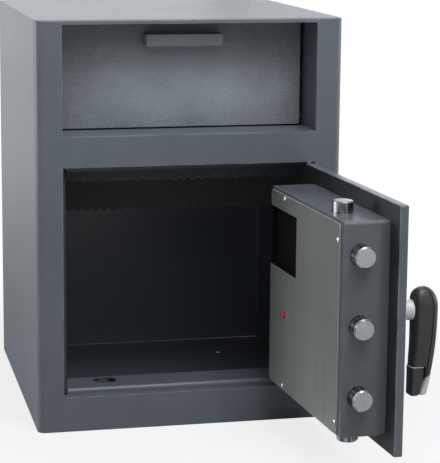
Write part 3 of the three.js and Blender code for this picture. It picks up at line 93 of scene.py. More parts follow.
def photo_camera():
    data = bpy.data.cameras.new("photo_camera")
    camera = in_scene("photo_camera", data)
    data.sensor_width = SENSOR_MM
    data.lens = FOCAL_PIXELS * SENSOR_MM / max(IMAGE)
    data.shift_x, data.shift_y = CAMERA_SHIFT
    data.clip_start, data.clip_end = NEAREST, FARTHEST
    camera.matrix_world = (
        Matrix.Translation(CAMERA_PLACE)
        @ Matrix.Rotation(-CAMERA_YAW, 4, "Z")
        @ Matrix.Rotation(math.pi / 2 + CAMERA_PITCH, 4, "X")
        @ Matrix.Rotation(CAMERA_ROLL, 4, "Z")
    )
    bpy.context.scene.camera = camera
    return camera


camera = photo_camera()
print("lens in millimetres:", round(camera.data.lens, 1))

# %% [markdown]
# A finish is a small network of shader nodes. Sums between nodes are hard to read as links, so one
# class wraps a node's output and lets Python write them as sums. A second class makes every node of
# a network through a single method, which sets the node up and joins its inputs. A material is such
# a network with one Principled shader at its end.

# %% Writing shader networks as sums
WHITE = (1, 1, 1, 1)
WORN_RADIUS = 1.3 * MM
MIX_SHARE, MIX_ONE, MIX_OTHER, MIX_RESULT = 0, 6, 7, 2


class Wire:
    """One output of a node, usable in sums."""

    def __init__(self, network, socket):
        self.network = network
        self.socket = socket

    def math(self, operation, *values):
        return self.network.node("ShaderNodeMath", values, operation=operation)

    def __add__(self, other):
        return self.math("ADD", self, other)

    def __sub__(self, other):
        return self.math("SUBTRACT", self, other)

    def __mul__(self, other):
        return self.math("MULTIPLY", self, other)

    def __rsub__(self, other):
        return self.math("SUBTRACT", other, self)

    __radd__ = __add__
    __rmul__ = __mul__

    def absolute(self):
        return self.math("ABSOLUTE", self)

    def clamped(self):
        return self.math("MINIMUM", self.math("MAXIMUM", self, 0.0), 1.0)

    def swing(self, amount):
        """A noise between 0 and 1 as a change up or down."""
        return (self - 0.5) * amount

    def smooth(self, low, high):
        """An even rise from 0 at the low value to 1 at the high one."""
        inputs = {"Value": self, "From Min": low, "From Max": high}
        return self.network.node("ShaderNodeMapRange", inputs, interpolation_type="SMOOTHSTEP")


class Network:
    """A tree of nodes that are all made by one method."""

    def __init__(self, tree, end):
        self.tree = tree
        self.tree.nodes.clear()
        self.end = self.tree.nodes.new(end)

    def node(self, kind, inputs=(), output=0, **settings):
        made = self.tree.nodes.new(kind)
        for key, value in settings.items():
            setattr(made, key, value)
        for key, value in inputs.items() if isinstance(inputs, dict) else enumerate(inputs):
            for one in value if isinstance(value, list) else [value]:
                self.fill(made.inputs[key], one)
        if isinstance(output, tuple):
            return [Wire(self, made.outputs[one]) for one in output]
        return Wire(self, made.outputs[output])

    def fill(self, socket, value):
        if isinstance(value, Wire):
            self.tree.links.new(value.socket, socket)
        else:
            socket.default_value = value

    def shows(self, result):
        self.fill(self.end.inputs[0], result)

    def rays(self):
        """Light Path's marks of rays from the camera, from gloss and through glass."""
        kinds = ("Is Camera Ray", "Is Glossy Ray", "Is Transmission Ray")
        return self.node("ShaderNodeLightPath", output=kinds)


class Finish(Network):
    """A material of one Principled shader, patterned by Object coordinates."""

    def __init__(self, name):
        self.material = bpy.data.materials.new(name)
        self.material.use_nodes = True
        super().__init__(self.material.node_tree, "ShaderNodeOutputMaterial")
        self.shader = self.tree.nodes.new("ShaderNodeBsdfPrincipled")
        self.coat = Wire(self, self.shader.outputs["BSDF"])
        self.shows(self.coat)
        self.place = self.node("ShaderNodeTexCoord", output="Object")

    def set(self, **values):
        for name, value in values.items():
            self.fill(self.shader.inputs[name.replace("_", " ")], value)

    def stretched(self, scale, turn=0.0):
        """Object coordinates, in metres, stretched along each axis and turned about Z."""
        inputs = {"Vector": self.place, "Rotation": (0, 0, turn), "Scale": scale}
        return self.node("ShaderNodeMapping", inputs, vector_type="POINT")

    def noise(self, per_metre, detail, rough, vector=None):
        inputs = {"Vector": vector or self.place, "Scale": per_metre, "Detail": detail, "Roughness": rough}
        return self.node("ShaderNodeTexNoise", inputs, "Fac", noise_dimensions="3D")

    def mixed(self, share, one, other):
        inputs = {MIX_SHARE: share, MIX_ONE: one, MIX_OTHER: other}
        return self.node("ShaderNodeMix", inputs, MIX_RESULT, data_type="RGBA", blend_type="MIX")

    def toned(self, tone, dark, light):
        return self.mixed(tone.clamped(), colour(*dark), colour(*light))

    def bumped(self, height, depth, strength):
        inputs = {"Strength": strength, "Distance": depth, "Height": height}
        self.set(Normal=self.node("ShaderNodeBump", inputs, "Normal"))

    def bend(self):
        """Nothing on a flat face, and more the nearer and sharper an edge is."""
        rounded = self.node("ShaderNodeBevel", {"Radius": WORN_RADIUS}, samples=4)
        face = self.node("ShaderNodeNewGeometry", output="Normal")
        vectors = (rounded, face)
        return 1.0 - self.node("ShaderNodeVectorMath", vectors, "Value", operation="DOT_PRODUCT")


def colour(red, green, blue):
    """A colour as it looks on a screen, from 0 to 255, made linear for the shader."""
    def linear(v):
        v /= 255
        return v / 12.92 if v <= 0.04045 else ((v + 0.055) / 1.055) ** 2.4
    return (linear(red), linear(green), linear(blue), 1.0)


print("one middle grey is", [round(v, 3) for v in colour(119, 119, 119)])

# %% [markdown]
# The cabinet is folded steel sheet under a graphite powder coat. A powder coat melts and levels in
# the oven, so it has a fine orange peel and a satin gloss, and its tone drifts a little from place
# to place. One function makes such paint from a dark and a light shade, because the cabinet, its
# inside and the lock case differ only in those. Corners are rubbed a little lighter by handling,
# and on the cabinet that lighter edge is also a painted highlight along its folds.
# Each noise is given its waves in a metre, its detail and its roughness.

# %% Paint finishes
RUBBED = (150, 157, 163)
RUBBED_BEND = (0.03, 0.3)


def powder_coat(
    name, dark, light, rough, rub_and_sheen, peel=0.03 * MM, speck=0.7, rubbed_and_sheen=RUBBED, bend=RUBBED_BEND
):
    paint = Finish(name)
    drift = paint.noise(5.0, 2.0, 0.5)
    cloud = paint.noise(38.0, 3.0, 0.6)
    grain = paint.noise(2100.0, 1.0, 0.5)
    peel_height = paint.noise(720.0, 2.0, 0.55)
    tone = drift.swing(0.9) + cloud.swing(0.5) + grain.swing(speck) + 0.5
    base = paint.toned(tone, dark, light)
    # Lighter edges: worn corners, and on the cabinet also a painted highlight along the folds.
    edge = paint.bend().smooth(*bend) * cloud.smooth(0.35, 0.7) * rub_and_sheen
    paint.set(
        Base_Color=paint.mixed(edge, base, colour(*rubbed_and_sheen)),
        Roughness=peel_height.swing(0.22 * speck) + drift.swing(0.1) + rough,
    )
    paint.bumped(peel_height * 0.8 + grain * 0.2, peel, 0.6)
    return paint.material


# %% Paints of the safe
# The cabinet's narrow, strong edge lightening is partly wear and partly a painted highlight.
body_paint = powder_coat(
    "graphite_powder_coat",
    (94, 102, 112),
    (114, 122, 132),
    rough=0.38,
    rub_and_sheen=1.5,
    rubbed_and_sheen=(172, 180, 188),
    bend=(0.002, 0.05),
)
inner_paint = powder_coat("dark_inner_paint", (52, 56, 60), (66, 70, 74), rough=0.5, rub_and_sheen=0.25)
case_paint = powder_coat(
    "lock_case_paint", (90, 98, 105), (110, 118, 125), rough=0.26, rub_and_sheen=0.8, peel=0.004 * MM, speck=0.25
)
# The pull's paint is lighter than the cabinet's, as painted light on a pull in the recess's shade.
pull_paint = powder_coat("pull_paint", (150, 157, 161), (172, 179, 183), rough=0.4, rub_and_sheen=0.7, speck=0.5)
# The door plate's inner face is painted darker, a painted shade.
plate_back_paint = powder_coat("plate_back_paint", (34, 37, 41), (44, 47, 52), rough=0.5, rub_and_sheen=0.2)
baffle_paint = powder_coat("baffle_paint", (60, 65, 68), (74, 79, 83), rough=0.7, rub_and_sheen=0.0)
print("powder coats:", [material.name for material in bpy.data.materials])

# %% [markdown]
# The hopper's panel has a coarser, mottled paint, and the recess's shade is painted on it too: the
# panel is palest round its middle, and the distance from the middle, across and upwards, fades the
# pale tone out towards the panel's edges, a painted shade.

# %% The hopper panel's paint
PANEL_MIDDLE = 0.415
PAINTED_SHADE_ACROSS = 5.4
PAINTED_SHADE_UPWARDS = 13.0


def mottled_panel():
    paint = Finish("mottled_panel_paint")
    cloud = paint.noise(16.0, 3.0, 0.6)
    speck = paint.noise(420.0, 3.0, 0.75)
    fleck = paint.noise(900.0, 2.0, 0.6)
    x, z = paint.node("ShaderNodeSeparateXYZ", (paint.place,), ("X", "Z"))
    # Painted shade: the pale middle fades out towards the panel's edges.
    across = 1.0 - (x * PAINTED_SHADE_ACROSS).absolute().smooth(0.25, 0.95)
    upwards = 1.0 - ((z - PANEL_MIDDLE) * PAINTED_SHADE_UPWARDS).absolute().smooth(0.1, 0.95)
    tone = cloud.swing(0.5) + speck.swing(0.9) + fleck.swing(0.5) + across * upwards * 0.5 + 0.26
    paint.set(
        Base_Color=paint.toned(tone, (88, 93, 95), (190, 201, 211)),
        Roughness=speck.swing(0.25) + 0.46,
    )
    paint.bumped(speck * 0.6 + fleck * 0.4, 0.05 * MM, 0.6)
    return paint.material


panel_paint = mottled_panel()
print("the panel's paint is", panel_paint.name)

# %% [markdown]
# The cover of the lock case has a satin coat with faint upright streaks, as over brushed sheet. Its
# folded edges are painted pale, a painted highlight that reads as a thin pale line round the cover.

# %% The cover's paint


def satin_cover():
    paint = Finish("satin_cover_paint")
    drift = paint.noise(7.0, 2.0, 0.5)
    peel_height = paint.noise(650.0, 2.0, 0.55)
    grain = paint.noise(1900.0, 1.0, 0.5)
    drawn = paint.noise(1.0, 2.0, 0.5, paint.stretched((160, 160, 2.2)))
    tone = drift.swing(0.8) + drawn.swing(0.7) + grain.swing(0.4) + 0.5
    base = paint.toned(tone, (130, 136, 133), (152, 158, 155))
    paint.set(
        # Painted highlight: the cover's edges are painted pale.
        Base_Color=paint.mixed(paint.bend().smooth(0.01, 0.12), base, colour(214, 218, 212)),
        Roughness=peel_height.swing(0.12) + drawn.swing(0.1) + 0.3,
    )
    paint.bumped(peel_height, 0.02 * MM, 0.5)
    return paint.material


cover_paint = satin_cover()
print("the cover's paint is", cover_paint.name)

# %% [markdown]
# The bolts are turned from bar and plated. The tool leaves rings round the bolt, finer than a
# hair, and long dark and bright streaks run along it, partly handling marks and partly a painted
# reflection. Both come from noise on stretched coordinates: squeezed along the bolt for the rings
# and drawn out along it for the streaks. The side bolts lie across the opened door, so their
# pattern is turned to follow them.

# %% Metal finishes


def turned_steel(name, scale_rings, scale_marks_and_reflections, turn=0.0):
    steel = Finish(name)
    rings = steel.noise(1.0, 2.0, 0.6, steel.stretched(scale_rings, turn))
    marks = steel.noise(1.0, 3.0, 0.6, steel.stretched(scale_marks_and_reflections, turn))
    smudge = steel.noise(60.0, 2.0, 0.5)
    # Dark and bright streaks along the bolt: handling marks and a painted reflection.
    tone = marks.smooth(0.42, 0.62) * 0.8 + smudge.swing(0.5) + 0.1
    steel.set(
        Base_Color=steel.toned(tone, (66, 72, 74), (206, 211, 212)),
        Metallic=1.0,
        Roughness=rings.swing(0.2) + smudge.swing(0.15) + 0.24,
    )
    steel.bumped(rings, 0.012 * MM, 0.5)
    return steel.material


def plated(name, dark, light, rough, metallic):
    plate = Finish(name)
    cloud = plate.noise(90.0, 4.0, 0.6)
    grain = plate.noise(1500.0, 2.0, 0.5)
    tone = cloud.swing(1.2) + grain.swing(0.6) + 0.5
    plate.set(
        Base_Color=plate.toned(tone, dark, light),
        Metallic=metallic,
        Roughness=cloud.swing(0.2) + rough,
    )
    plate.bumped(grain, 0.01 * MM, 0.4)
    return plate.material


side_steel = turned_steel("turned_steel_side", (300, 5200, 300), (190, 14, 190), math.pi - DOOR_TURN)
upright_steel = turned_steel("turned_steel_upright", (300, 300, 5200), (190, 190, 12))
zinc = plated("zinc_plate", (150, 154, 158), (196, 200, 203), 0.34, 0.75)
satin_silver = plated("satin_silver_paint", (212, 216, 217), (232, 235, 236), 0.4, 0.2)
ground_face = plated("ground_bolt_face", (160, 165, 166), (192, 197, 198), 0.34, 0.45)
metals = (side_steel, upright_steel, zinc, satin_silver, ground_face)
print("metals:", [metal.name for metal in metals])

# %% [markdown]
# The lever, the battery compartment and the keypad are moulded plastic. A mould is etched with a
# fine grain, so the surface is matt but not flat, with worn shiny spots where hands touch it.

# %% Plastic finishes


def moulded(name, dark, light, rough, grain_size=1700.0, grain_depth=0.02, shine=0.5):
    plastic = Finish(name)
    grain = plastic.noise(grain_size, 2.0, 0.55)
    touch = plastic.noise(45.0, 2.0, 0.5)
    tone = grain.swing(0.8) + touch.swing(0.8) + 0.5
    plastic.set(
        Base_Color=plastic.toned(tone, dark, light),
        Roughness=touch.swing(0.25) + rough,
        Specular_IOR_Level=shine,
    )
    plastic.bumped(grain, grain_depth * MM, 0.5)
    return plastic.material


lever_plastic = moulded("lever_plastic", (44, 45, 44), (62, 63, 62), 0.34)
black_plastic = moulded("black_plastic", (9, 9, 10), (16, 16, 17), 0.5)
matt_black = moulded("matt_black_plastic", (5, 5, 6), (10, 10, 11), 0.8, shine=0.12)
red_plastic = moulded("red_button_plastic", (178, 24, 30), (206, 40, 44), 0.35, 900.0, 0.008)
keypad_rubber = moulded("keypad_rubber", (44, 46, 48), (60, 62, 64), 0.7, 1200.0, 0.03)

# %% Which finish a piece has
PAINT_OF_SLOT = {
    "body_paint": body_paint,
    "dark_paint": inner_paint,
    "panel_paint": panel_paint,
    "cover_paint": cover_paint,
    "bright_steel": upright_steel,
    "zinc": zinc,
    "satin_silver": satin_silver,
    "black_plastic": black_plastic,
    "red_plastic": red_plastic,
    "keypad_rubber": keypad_rubber,
}
PAINT_OF_NODE = {
    "lock_case": case_paint,
    "battery_lid": matt_black,
    "battery_box": matt_black,
    # The pull's lighter paint is painted light.
    "hopper_pull": pull_paint,
    "hopper_pin_left": inner_paint,
    "hopper_pin_right": inner_paint,
}
print("finishes in all:", len(bpy.data.materials))

# %% [markdown]
# The solids have sharp edges and are shaded facet by facet. Real sheet is folded over a radius and
# its cut edges are broken with a file, and those small roundings catch the light. Each visible
# piece is therefore copied, its loose triangles are merged into whole faces, and its edges get a
# small bevel. The copy stands for the solid and rides on the same body.

# %% From a node to a finished piece
SAME_PLACE = 0.01 * MM
SAME_PLANE = math.radians(0.3)
DOUBLES = 0.004 * MM
FOLD = 34
SMOOTH = 32
DRESSED = set()


def flat_joined(shape):
    """Makes one face of those that lie in one plane."""
    bmesh.ops.dissolve_limit(
        shape, angle_limit=SAME_PLANE, verts=shape.verts, edges=shape.edges, delimit={"NORMAL"}
    )


def merged(node):
    """A node's mesh with doubles merged and flat faces joined."""
    shape = bmesh.new()
    shape.from_mesh(NODES[node].data)
    bmesh.ops.remove_doubles(shape, verts=shape.verts, dist=DOUBLES)
    flat_joined(shape)
    return shape


def placed(shape, name):
    """A bmesh as an object at the origin."""
    mesh = bpy.data.meshes.new(name)
    shape.to_mesh(mesh)
    shape.free()
    return in_scene(name, mesh)


def flattened(piece):
    """Applies a piece's modifiers, so that only a plain mesh is left."""
    bpy.context.view_layer.update()
    graph = bpy.context.evaluated_depsgraph_get()
    seen = piece.evaluated_get(graph)
    mesh = bpy.data.meshes.new_from_object(seen, preserve_all_data_layers=True, depsgraph=graph)
    piece.modifiers.clear()
    piece.data = mesh


def evenly_shaded(piece, smooth=SMOOTH):
    """Smooth shading that stays flat on large faces and breaks at sharp edges."""
    piece.data.polygons.foreach_set("use_smooth", [True] * len(piece.data.polygons))
    piece.data.set_sharp_from_angle(angle=math.radians(smooth))
    weighing = piece.modifiers.new("even_shading", "WEIGHTED_NORMAL")
    weighing.keep_sharp = True
    flattened(piece)


def painted(piece, material):
    piece.data.materials.clear()
    piece.data.materials.append(material)


def handed_in(piece, body, slot, *nodes):
    """Says which body a piece rides on and which nodes it stands for; the slot is not used."""
    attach(piece, body)
    if nodes:
        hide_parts(*nodes)
        DRESSED.update(nodes)
    return piece


print("a piece is placed, painted, shaded and handed in")

# %% Rounding edges


def sharp_edges(shape, fold):
    limit = math.radians(fold)
    return [e for e in shape.edges if len(e.link_faces) == 2 and e.calc_face_angle(0) > limit]


def softened(shape, edges, width, steps=2):
    """Rounds some edges, by a width in millimetres."""
    bmesh.ops.bevel(
        shape,
        geom=edges,
        offset=width * MM,
        segments=steps,
        profile=0.5,
        affect="EDGES",
        clamp_overlap=True,
    )


def soft_copy(node, width):
    """A node's copy with its sharp edges rounded, which then stands for it."""
    shape = merged(node)
    softened(shape, sharp_edges(shape, FOLD), width)
    piece = placed(shape, node + "_finished")
    painted(piece, PAINT_OF_NODE.get(node, PAINT_OF_SLOT[SLOT_OF[node]]))
    evenly_shaded(piece)
    return handed_in(piece, BODY_OF[node], SLOT_OF[node], node)


def tidied(piece, width, fold, weld):
    """Welds a made mesh, rounds its sharp edges and shades it."""
    shape = bmesh.new()
    shape.from_mesh(piece.data)
    bmesh.ops.remove_doubles(shape, verts=shape.verts, dist=weld)
    flat_joined(shape)
    softened(shape, sharp_edges(shape, fold), width)
    shape.to_mesh(piece.data)
    shape.free()
    evenly_shaded(piece)


def combined(piece, other, operation):
    """Adds another piece to a piece, or cuts it out of it, and leaves one mesh."""
    boolean = piece.modifiers.new("combined", "BOOLEAN")
    boolean.operation = operation
    boolean.solver = "EXACT"
    boolean.object = other
    flattened(piece)
    bpy.data.objects.remove(other)


print("edges that fold by more than", FOLD, "degrees are rounded")

# %% [markdown]
# The cabinet looks like one skin, though it is a pressed front pushed into a wrapped shell: the
# seam between them was ground flush before painting. The front's copy gets the shell's 2 mm edge
# rounding all round, its back rim meets the shell, and a boolean union makes one mesh of both, so
# no seam is left to see. All other sharp edges are then softened as on the other pieces.

# %% The cabinet's skin
SHELL_ROUNDING = 2.0
SHELL_STEPS = 6
SKIN_EDGE = 0.5
SKIN_WELD = 0.02 * MM
FRONT_RETURN_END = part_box("front_frame")[1][1]
SHELL_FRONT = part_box("body_shell")[0][1]
TOP_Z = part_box("front_frame")[1][2]


def outer_rim(shape, level):
    """The edges of the front's outline at one height, where its top or underside begins."""
    def at_level(edge):
        return all(abs(v.co.z - level) < SAME_PLACE for v in edge.verts)

    def upright(face):
        return abs(face.normal.z) < 0.5

    def outside(edge):
        return all(f.normal.dot(edge.verts[0].co) > 0 for f in edge.link_faces if upright(f))

    rim = [e for e in shape.edges if at_level(e) and any(upright(f) for f in e.link_faces)]
    before = FRONT_RETURN_END - SAME_PLACE
    return [e for e in rim if outside(e) and min(v.co.y for v in e.verts) < before]


def cabinet_skin():
    front = merged("front_frame")
    for level in (0.0, TOP_Z):
        softened(front, outer_rim(front, level), SHELL_ROUNDING, SHELL_STEPS)
    shell = merged("body_shell")
    for v in shell.verts:
        if abs(v.co.y - SHELL_FRONT) < SAME_PLACE:
            v.co.y = FRONT_RETURN_END
    piece = placed(front, "cabinet_skin")
    combined(piece, placed(shell, "cabinet_shell_copy"), "UNION")
    tidied(piece, SKIN_EDGE, FOLD, SKIN_WELD)
    painted(piece, body_paint)
    return handed_in(piece, BODY_OF["front_frame"], "body_paint", "front_frame", "body_shell")


skin = cabinet_skin()
print("faces of the skin:", len(skin.data.polygons))

# %% [markdown]
# Two toothed sheets hang inside, so that nothing can be fished back out of the deposit chute. The
# teeth repeat at one pitch, so a rule makes them: a grid of two rows of points, whose lower row is
# pushed down at every second point, and is then given the sheet's thickness. Geometry Nodes hold
# that rule as a small tree with the width, height, tooth count and depth as named inputs.

# %% Writing node trees


class Rule(Network):
    """A Geometry Nodes tree with named inputs, whose nodes are joined like those of a finish."""

    def __init__(self, name, **kinds):
        tree = bpy.data.node_groups.new(name, "GeometryNodeTree")
        tree.interface.new_socket("Geometry", in_out="OUTPUT", socket_type="NodeSocketGeometry")
        self.sockets = {}
        for label, kind in {"Geometry": "Geometry", **kinds}.items():
            socket = tree.interface.new_socket(label, in_out="INPUT", socket_type="NodeSocket" + kind)
            self.sockets[label] = socket.identifier
        super().__init__(tree, "NodeGroupOutput")
        self.given = self.tree.nodes.new("NodeGroupInput")

    def input(self, label):
        return Wire(self, self.given.outputs[label])

    def vector(self, x=0.0, y=0.0, z=0.0):
        return self.node("ShaderNodeCombineXYZ", (x, y, z))

    def parts(self, label):
        return self.node("ShaderNodeSeparateXYZ", (self.input(label),), ("X", "Y", "Z"))

    def moved(self, geometry, **change):
        return self.node("GeometryNodeTransform", {"Geometry": geometry, **change})

    def joined(self, *geometry):
        return self.node("GeometryNodeJoinGeometry", (list(geometry),))

    def welded(self, geometry, distance):
        return self.node("GeometryNodeMergeByDistance", {"Geometry": geometry, "Distance": distance})

    def boolean(self, operation, inputs):
        return self.node("GeometryNodeMeshBoolean", inputs, operation=operation, solver="EXACT")

    def set_on(self, points, piece, turn=(0, 0, 0)):
        inputs = {"Points": points, "Instance": piece, "Rotation": turn}
        return self.node("GeometryNodeInstanceOnPoints", inputs)

    def ends(self, geometry, material):
        real = self.node("GeometryNodeRealizeInstances", (geometry,))
        self.shows(self.node("GeometryNodeSetMaterial", {"Geometry": real, "Material": material}))
        return self

    def made(self, name, start=(), **values):
        """A piece that this rule makes from its start points, as a plain mesh."""
        mesh = bpy.data.meshes.new(name)
        mesh.from_pydata(start, [], [])
        piece = in_scene(name, mesh)
        modifier = piece.modifiers.new(name, "NODES")
        modifier.node_group = self.tree
        for label, value in values.items():
            modifier[self.sockets[label]] = value
        flattened(piece)
        return piece


print("a rule is a node tree with named inputs")

# %% The toothed baffles
TOOTH_DEPTH = 4.5 * MM
TOOTH_PITCH = 11.4 * MM
BAFFLE_EDGE = 0.12
MADE_WELD = 0.003 * MM


def toothed_sheet_rule():
    lengths = {"Width": "Float", "Height": "Float", "Tooth": "Float", "Thickness": "Float"}
    rule = Rule("toothed_sheet", **lengths, Teeth="Int", Foot="Vector")
    size = {"Size X": rule.input("Width"), "Size Y": rule.input("Height")}
    size["Vertices X"] = rule.input("Teeth") * 2.0 + 1.0
    grid = rule.node("GeometryNodeMeshGrid", {**size, "Vertices Y": 2})
    index = rule.node("GeometryNodeInputIndex")
    column = index.math("FLOOR", index * 0.5)
    low_row = 1.0 - index.math("MODULO", index, 2.0)
    drop = column.math("MODULO", column, 2.0) * low_row * rule.input("Tooth") * -1.0
    change = {"Geometry": grid, "Offset": rule.vector(y=drop)}
    toothed = rule.node("GeometryNodeSetPosition", change)
    push = {"Mesh": toothed, "Offset Scale": rule.input("Thickness"), "Individual": False}
    thick = rule.node("GeometryNodeExtrudeMesh", push, mode="FACES")
    back = rule.node("GeometryNodeFlipFaces", {"Mesh": toothed})
    closed = rule.welded(rule.joined(thick, back), SAME_PLACE)
    stood = rule.moved(closed, Translation=rule.input("Foot"), Rotation=(math.pi / 2, 0, 0))
    return rule.ends(stood, baffle_paint)


def baffle(rule, node):
    low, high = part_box(node)
    width = high[0] - low[0]
    height = high[2] - low[2] - TOOTH_DEPTH
    piece = rule.made(
        node + "_finished",
        Width=width,
        Height=height,
        Tooth=TOOTH_DEPTH,
        Teeth=int(width // TOOTH_PITCH),
        Thickness=high[1] - low[1],
        Foot=(0, high[1], low[2] + TOOTH_DEPTH + height / 2),
    )
    tidied(piece, BAFFLE_EDGE, FOLD, MADE_WELD)
    return handed_in(piece, BODY_OF[node], SLOT_OF[node], node)


sheet_rule = toothed_sheet_rule()
for node in ("front_baffle", "rear_baffle"):
    piece = baffle(sheet_rule, node)
    print(piece.name, [round(v * 1000, 1) for v in piece.dimensions])

# %% [markdown]
# The pieces of the door are made as if it were shut and then swung open with it, because a shut
# door is square to the axes. A box of a solid is measured in the same way, turned back.

# %% The door's own directions
HINGE_PLACE = Vector(DOOR_HINGE["pos_m"])
DOOR_OUT = Vector((math.sin(DOOR_TURN), -math.cos(DOOR_TURN), 0))
DOOR_ALONG = Vector((math.cos(DOOR_TURN), math.sin(DOOR_TURN), 0))
TO_REST = (
    Matrix.Translation(HINGE_PLACE)
    @ Matrix.Rotation(DOOR_TURN, 4, "Z")
    @ Matrix.Translation(-HINGE_PLACE)
    @ Matrix.Translation((0, -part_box("body_shell")[1][1], 0))
)
MOULDED_SMOOTH = 40


def closed_box(node):
    """A node's lowest and highest corners with the door shut, in metres from the cabinet's back."""
    back = TO_REST.inverted()
    places = [back @ v.co for v in NODES[node].data.vertices]
    low = Vector([min(p[i] for p in places) for i in range(3)])
    high = Vector([max(p[i] for p in places) for i in range(3)])
    return low, high


def swung_out(piece, material, body, slot, *nodes):
    """Paints and shades a piece made with the door shut, swings it open and hands it in."""
    painted(piece, material)
    evenly_shaded(piece, MOULDED_SMOOTH)
    piece.data.transform(TO_REST)
    return handed_in(piece, body, slot, *nodes)


print("out of the closed door points to", [round(v, 3) for v in DOOR_OUT])

# %% [markdown]
# Four screws hold the cover. Each head is a low dome with a cross recess: a short cylinder cut by
# a large sphere, less two crossed blocks. One tree makes the head once and sets it on four
# points, which are read from the solids' boxes, and turns it to face out of the opened door.

# %% The cover screws
SCREWS = [f"cover_screw_{i}" for i in range(1, 5)]
SCREW_DOME = 1.4 * MM
SCREW_PROUD = 2.2 * MM
SCREW_RECESS = (4.9 * MM, 1.1 * MM, 2.6 * MM)
SCREW_EDGE = 0.1
TURNED_FOLD = 30


def screw_rule():
    rule = Rule("cover_screw_heads", Radius="Float", Height="Float", Sphere="Float", Slot="Vector")
    height = rule.input("Height")
    sphere = rule.input("Sphere")
    size = {"Vertices": 48, "Radius": rule.input("Radius"), "Depth": height}
    barrel = rule.node("GeometryNodeMeshCylinder", size)
    barrel = rule.moved(barrel, Translation=rule.vector(z=height * 0.5))
    ball = rule.node("GeometryNodeMeshUVSphere", {"Segments": 64, "Rings": 64, "Radius": sphere})
    ball = rule.moved(ball, Translation=rule.vector(z=height - sphere))
    dome = rule.boolean("INTERSECT", {1: [barrel, ball]})
    bar = rule.node("GeometryNodeMeshCube", {"Size": rule.input("Slot")})
    lifted = rule.vector(z=height)
    bars = [rule.moved(bar, Translation=lifted, Rotation=(0, 0, turn)) for turn in (0, math.pi / 2)]
    head = rule.boolean("DIFFERENCE", {0: dome, 1: bars})
    heads = rule.set_on(rule.input("Geometry"), head, (-math.pi / 2, 0, 0))
    return rule.ends(heads, zinc)


def cover_screws():
    boxes = [closed_box(node) for node in SCREWS]
    radius = (boxes[0][1].x - boxes[0][0].x) / 2
    places = [
        ((low.x + high.x) / 2, high.y - SCREW_PROUD, (low.z + high.z) / 2) for low, high in boxes
    ]
    piece = screw_rule().made(
        "cover_screws",
        places,
        Radius=radius,
        Height=SCREW_PROUD,
        Sphere=(radius**2 + SCREW_DOME**2) / (2 * SCREW_DOME),
        Slot=SCREW_RECESS,
    )
    tidied(piece, SCREW_EDGE, TURNED_FOLD, MADE_WELD)
    piece.data.transform(TO_REST)
    return handed_in(piece, "door", "bright_steel", *SCREWS)


screws = cover_screws()
print("triangles of the screw heads:", sum(len(p.vertices) - 2 for p in screws.data.polygons))

# %% [markdown]
# Three bolts shoot from the case's free side. They are one bar of steel three times over, with
# the tip turned down at 45 degrees, so the tree cuts a cylinder with a cone whose slope is that
# chamfer, and sets it on three points at the tips that the solids have. The flat tips are ground
# and have a finish of their own.

# %% The side bolts
SIDE_BOLTS = [f"side_bolt_{i}" for i in range(1, 4)]
BOLT_CHAMFER = 1.5 * MM
BOLT_EDGE = 0.25
BOLT_SIDES = 96
FACES_THAT_WAY = 0.97


def bolt_rule():
    rule = Rule("side_bolts", Radius="Float", Length="Float", Chamfer="Float")
    radius = rule.input("Radius")
    length = rule.input("Length")
    tip_radius = radius - rule.input("Chamfer")
    bar_size = {"Vertices": BOLT_SIDES, "Radius": radius, "Depth": length}
    bar = rule.node("GeometryNodeMeshCylinder", bar_size)
    cone_size = {
        "Vertices": BOLT_SIDES,
        "Radius Top": tip_radius,
        "Radius Bottom": tip_radius + length,
        "Depth": length,
    }
    cone = rule.node("GeometryNodeMeshCone", cone_size)
    cone = rule.moved(cone, Translation=rule.vector(z=length * -1.0))
    bar = rule.moved(bar, Translation=rule.vector(z=length * -0.5))
    bolt = rule.boolean("INTERSECT", {1: [bar, cone]})
    bolts = rule.set_on(rule.input("Geometry"), bolt, (0, -math.pi / 2, 0))
    return rule.ends(bolts, side_steel)


def faced(piece, direction, material):
    """Gives the faces that look one way a finish of their own."""
    piece.data.materials.append(material)
    for face in piece.data.polygons:
        if face.normal.dot(direction) > FACES_THAT_WAY:
            face.material_index = len(piece.data.materials) - 1


def side_bolts():
    boxes = [closed_box(node) for node in SIDE_BOLTS]
    low, high = boxes[0]
    piece = bolt_rule().made(
        "side_bolt_set",
        [(a.x, (a.y + b.y) / 2, (a.z + b.z) / 2) for a, b in boxes],
        Radius=(high.z - low.z) / 2,
        Length=high.x - low.x,
        Chamfer=BOLT_CHAMFER,
    )
    tidied(piece, BOLT_EDGE, TURNED_FOLD, MADE_WELD)
    piece.data.transform(TO_REST)
    faced(piece, -DOOR_ALONG, ground_face)
    print("bolts are", round((high.x - low.x) * 1000, 1), "mm long")
    return handed_in(piece, BODY_OF["side_bolt_1"], "bright_steel", *SIDE_BOLTS)


side_bolts()

# %% [markdown]
# The keypad is a rubber mat with twelve plain keys in three columns, moulded in one. The keys are
# rounded rectangles: a curve with filleted corners, filled, pushed out, and pushed out once more
# while it shrinks, which gives each key its soft rim. They stand on a grid of points.

# %% The keypad mat
KEY_SIZE = (14.4 * MM, 15.84 * MM)
KEY_PITCH = (20 * MM, 22 * MM, 0)
KEY_CORNER = 2 * MM
KEY_PROUD = 0.8 * MM
KEY_SUNK = 0.02 * MM
KEY_RIM, MAT_RIM = 0.25 * MM, 0.1 * MM


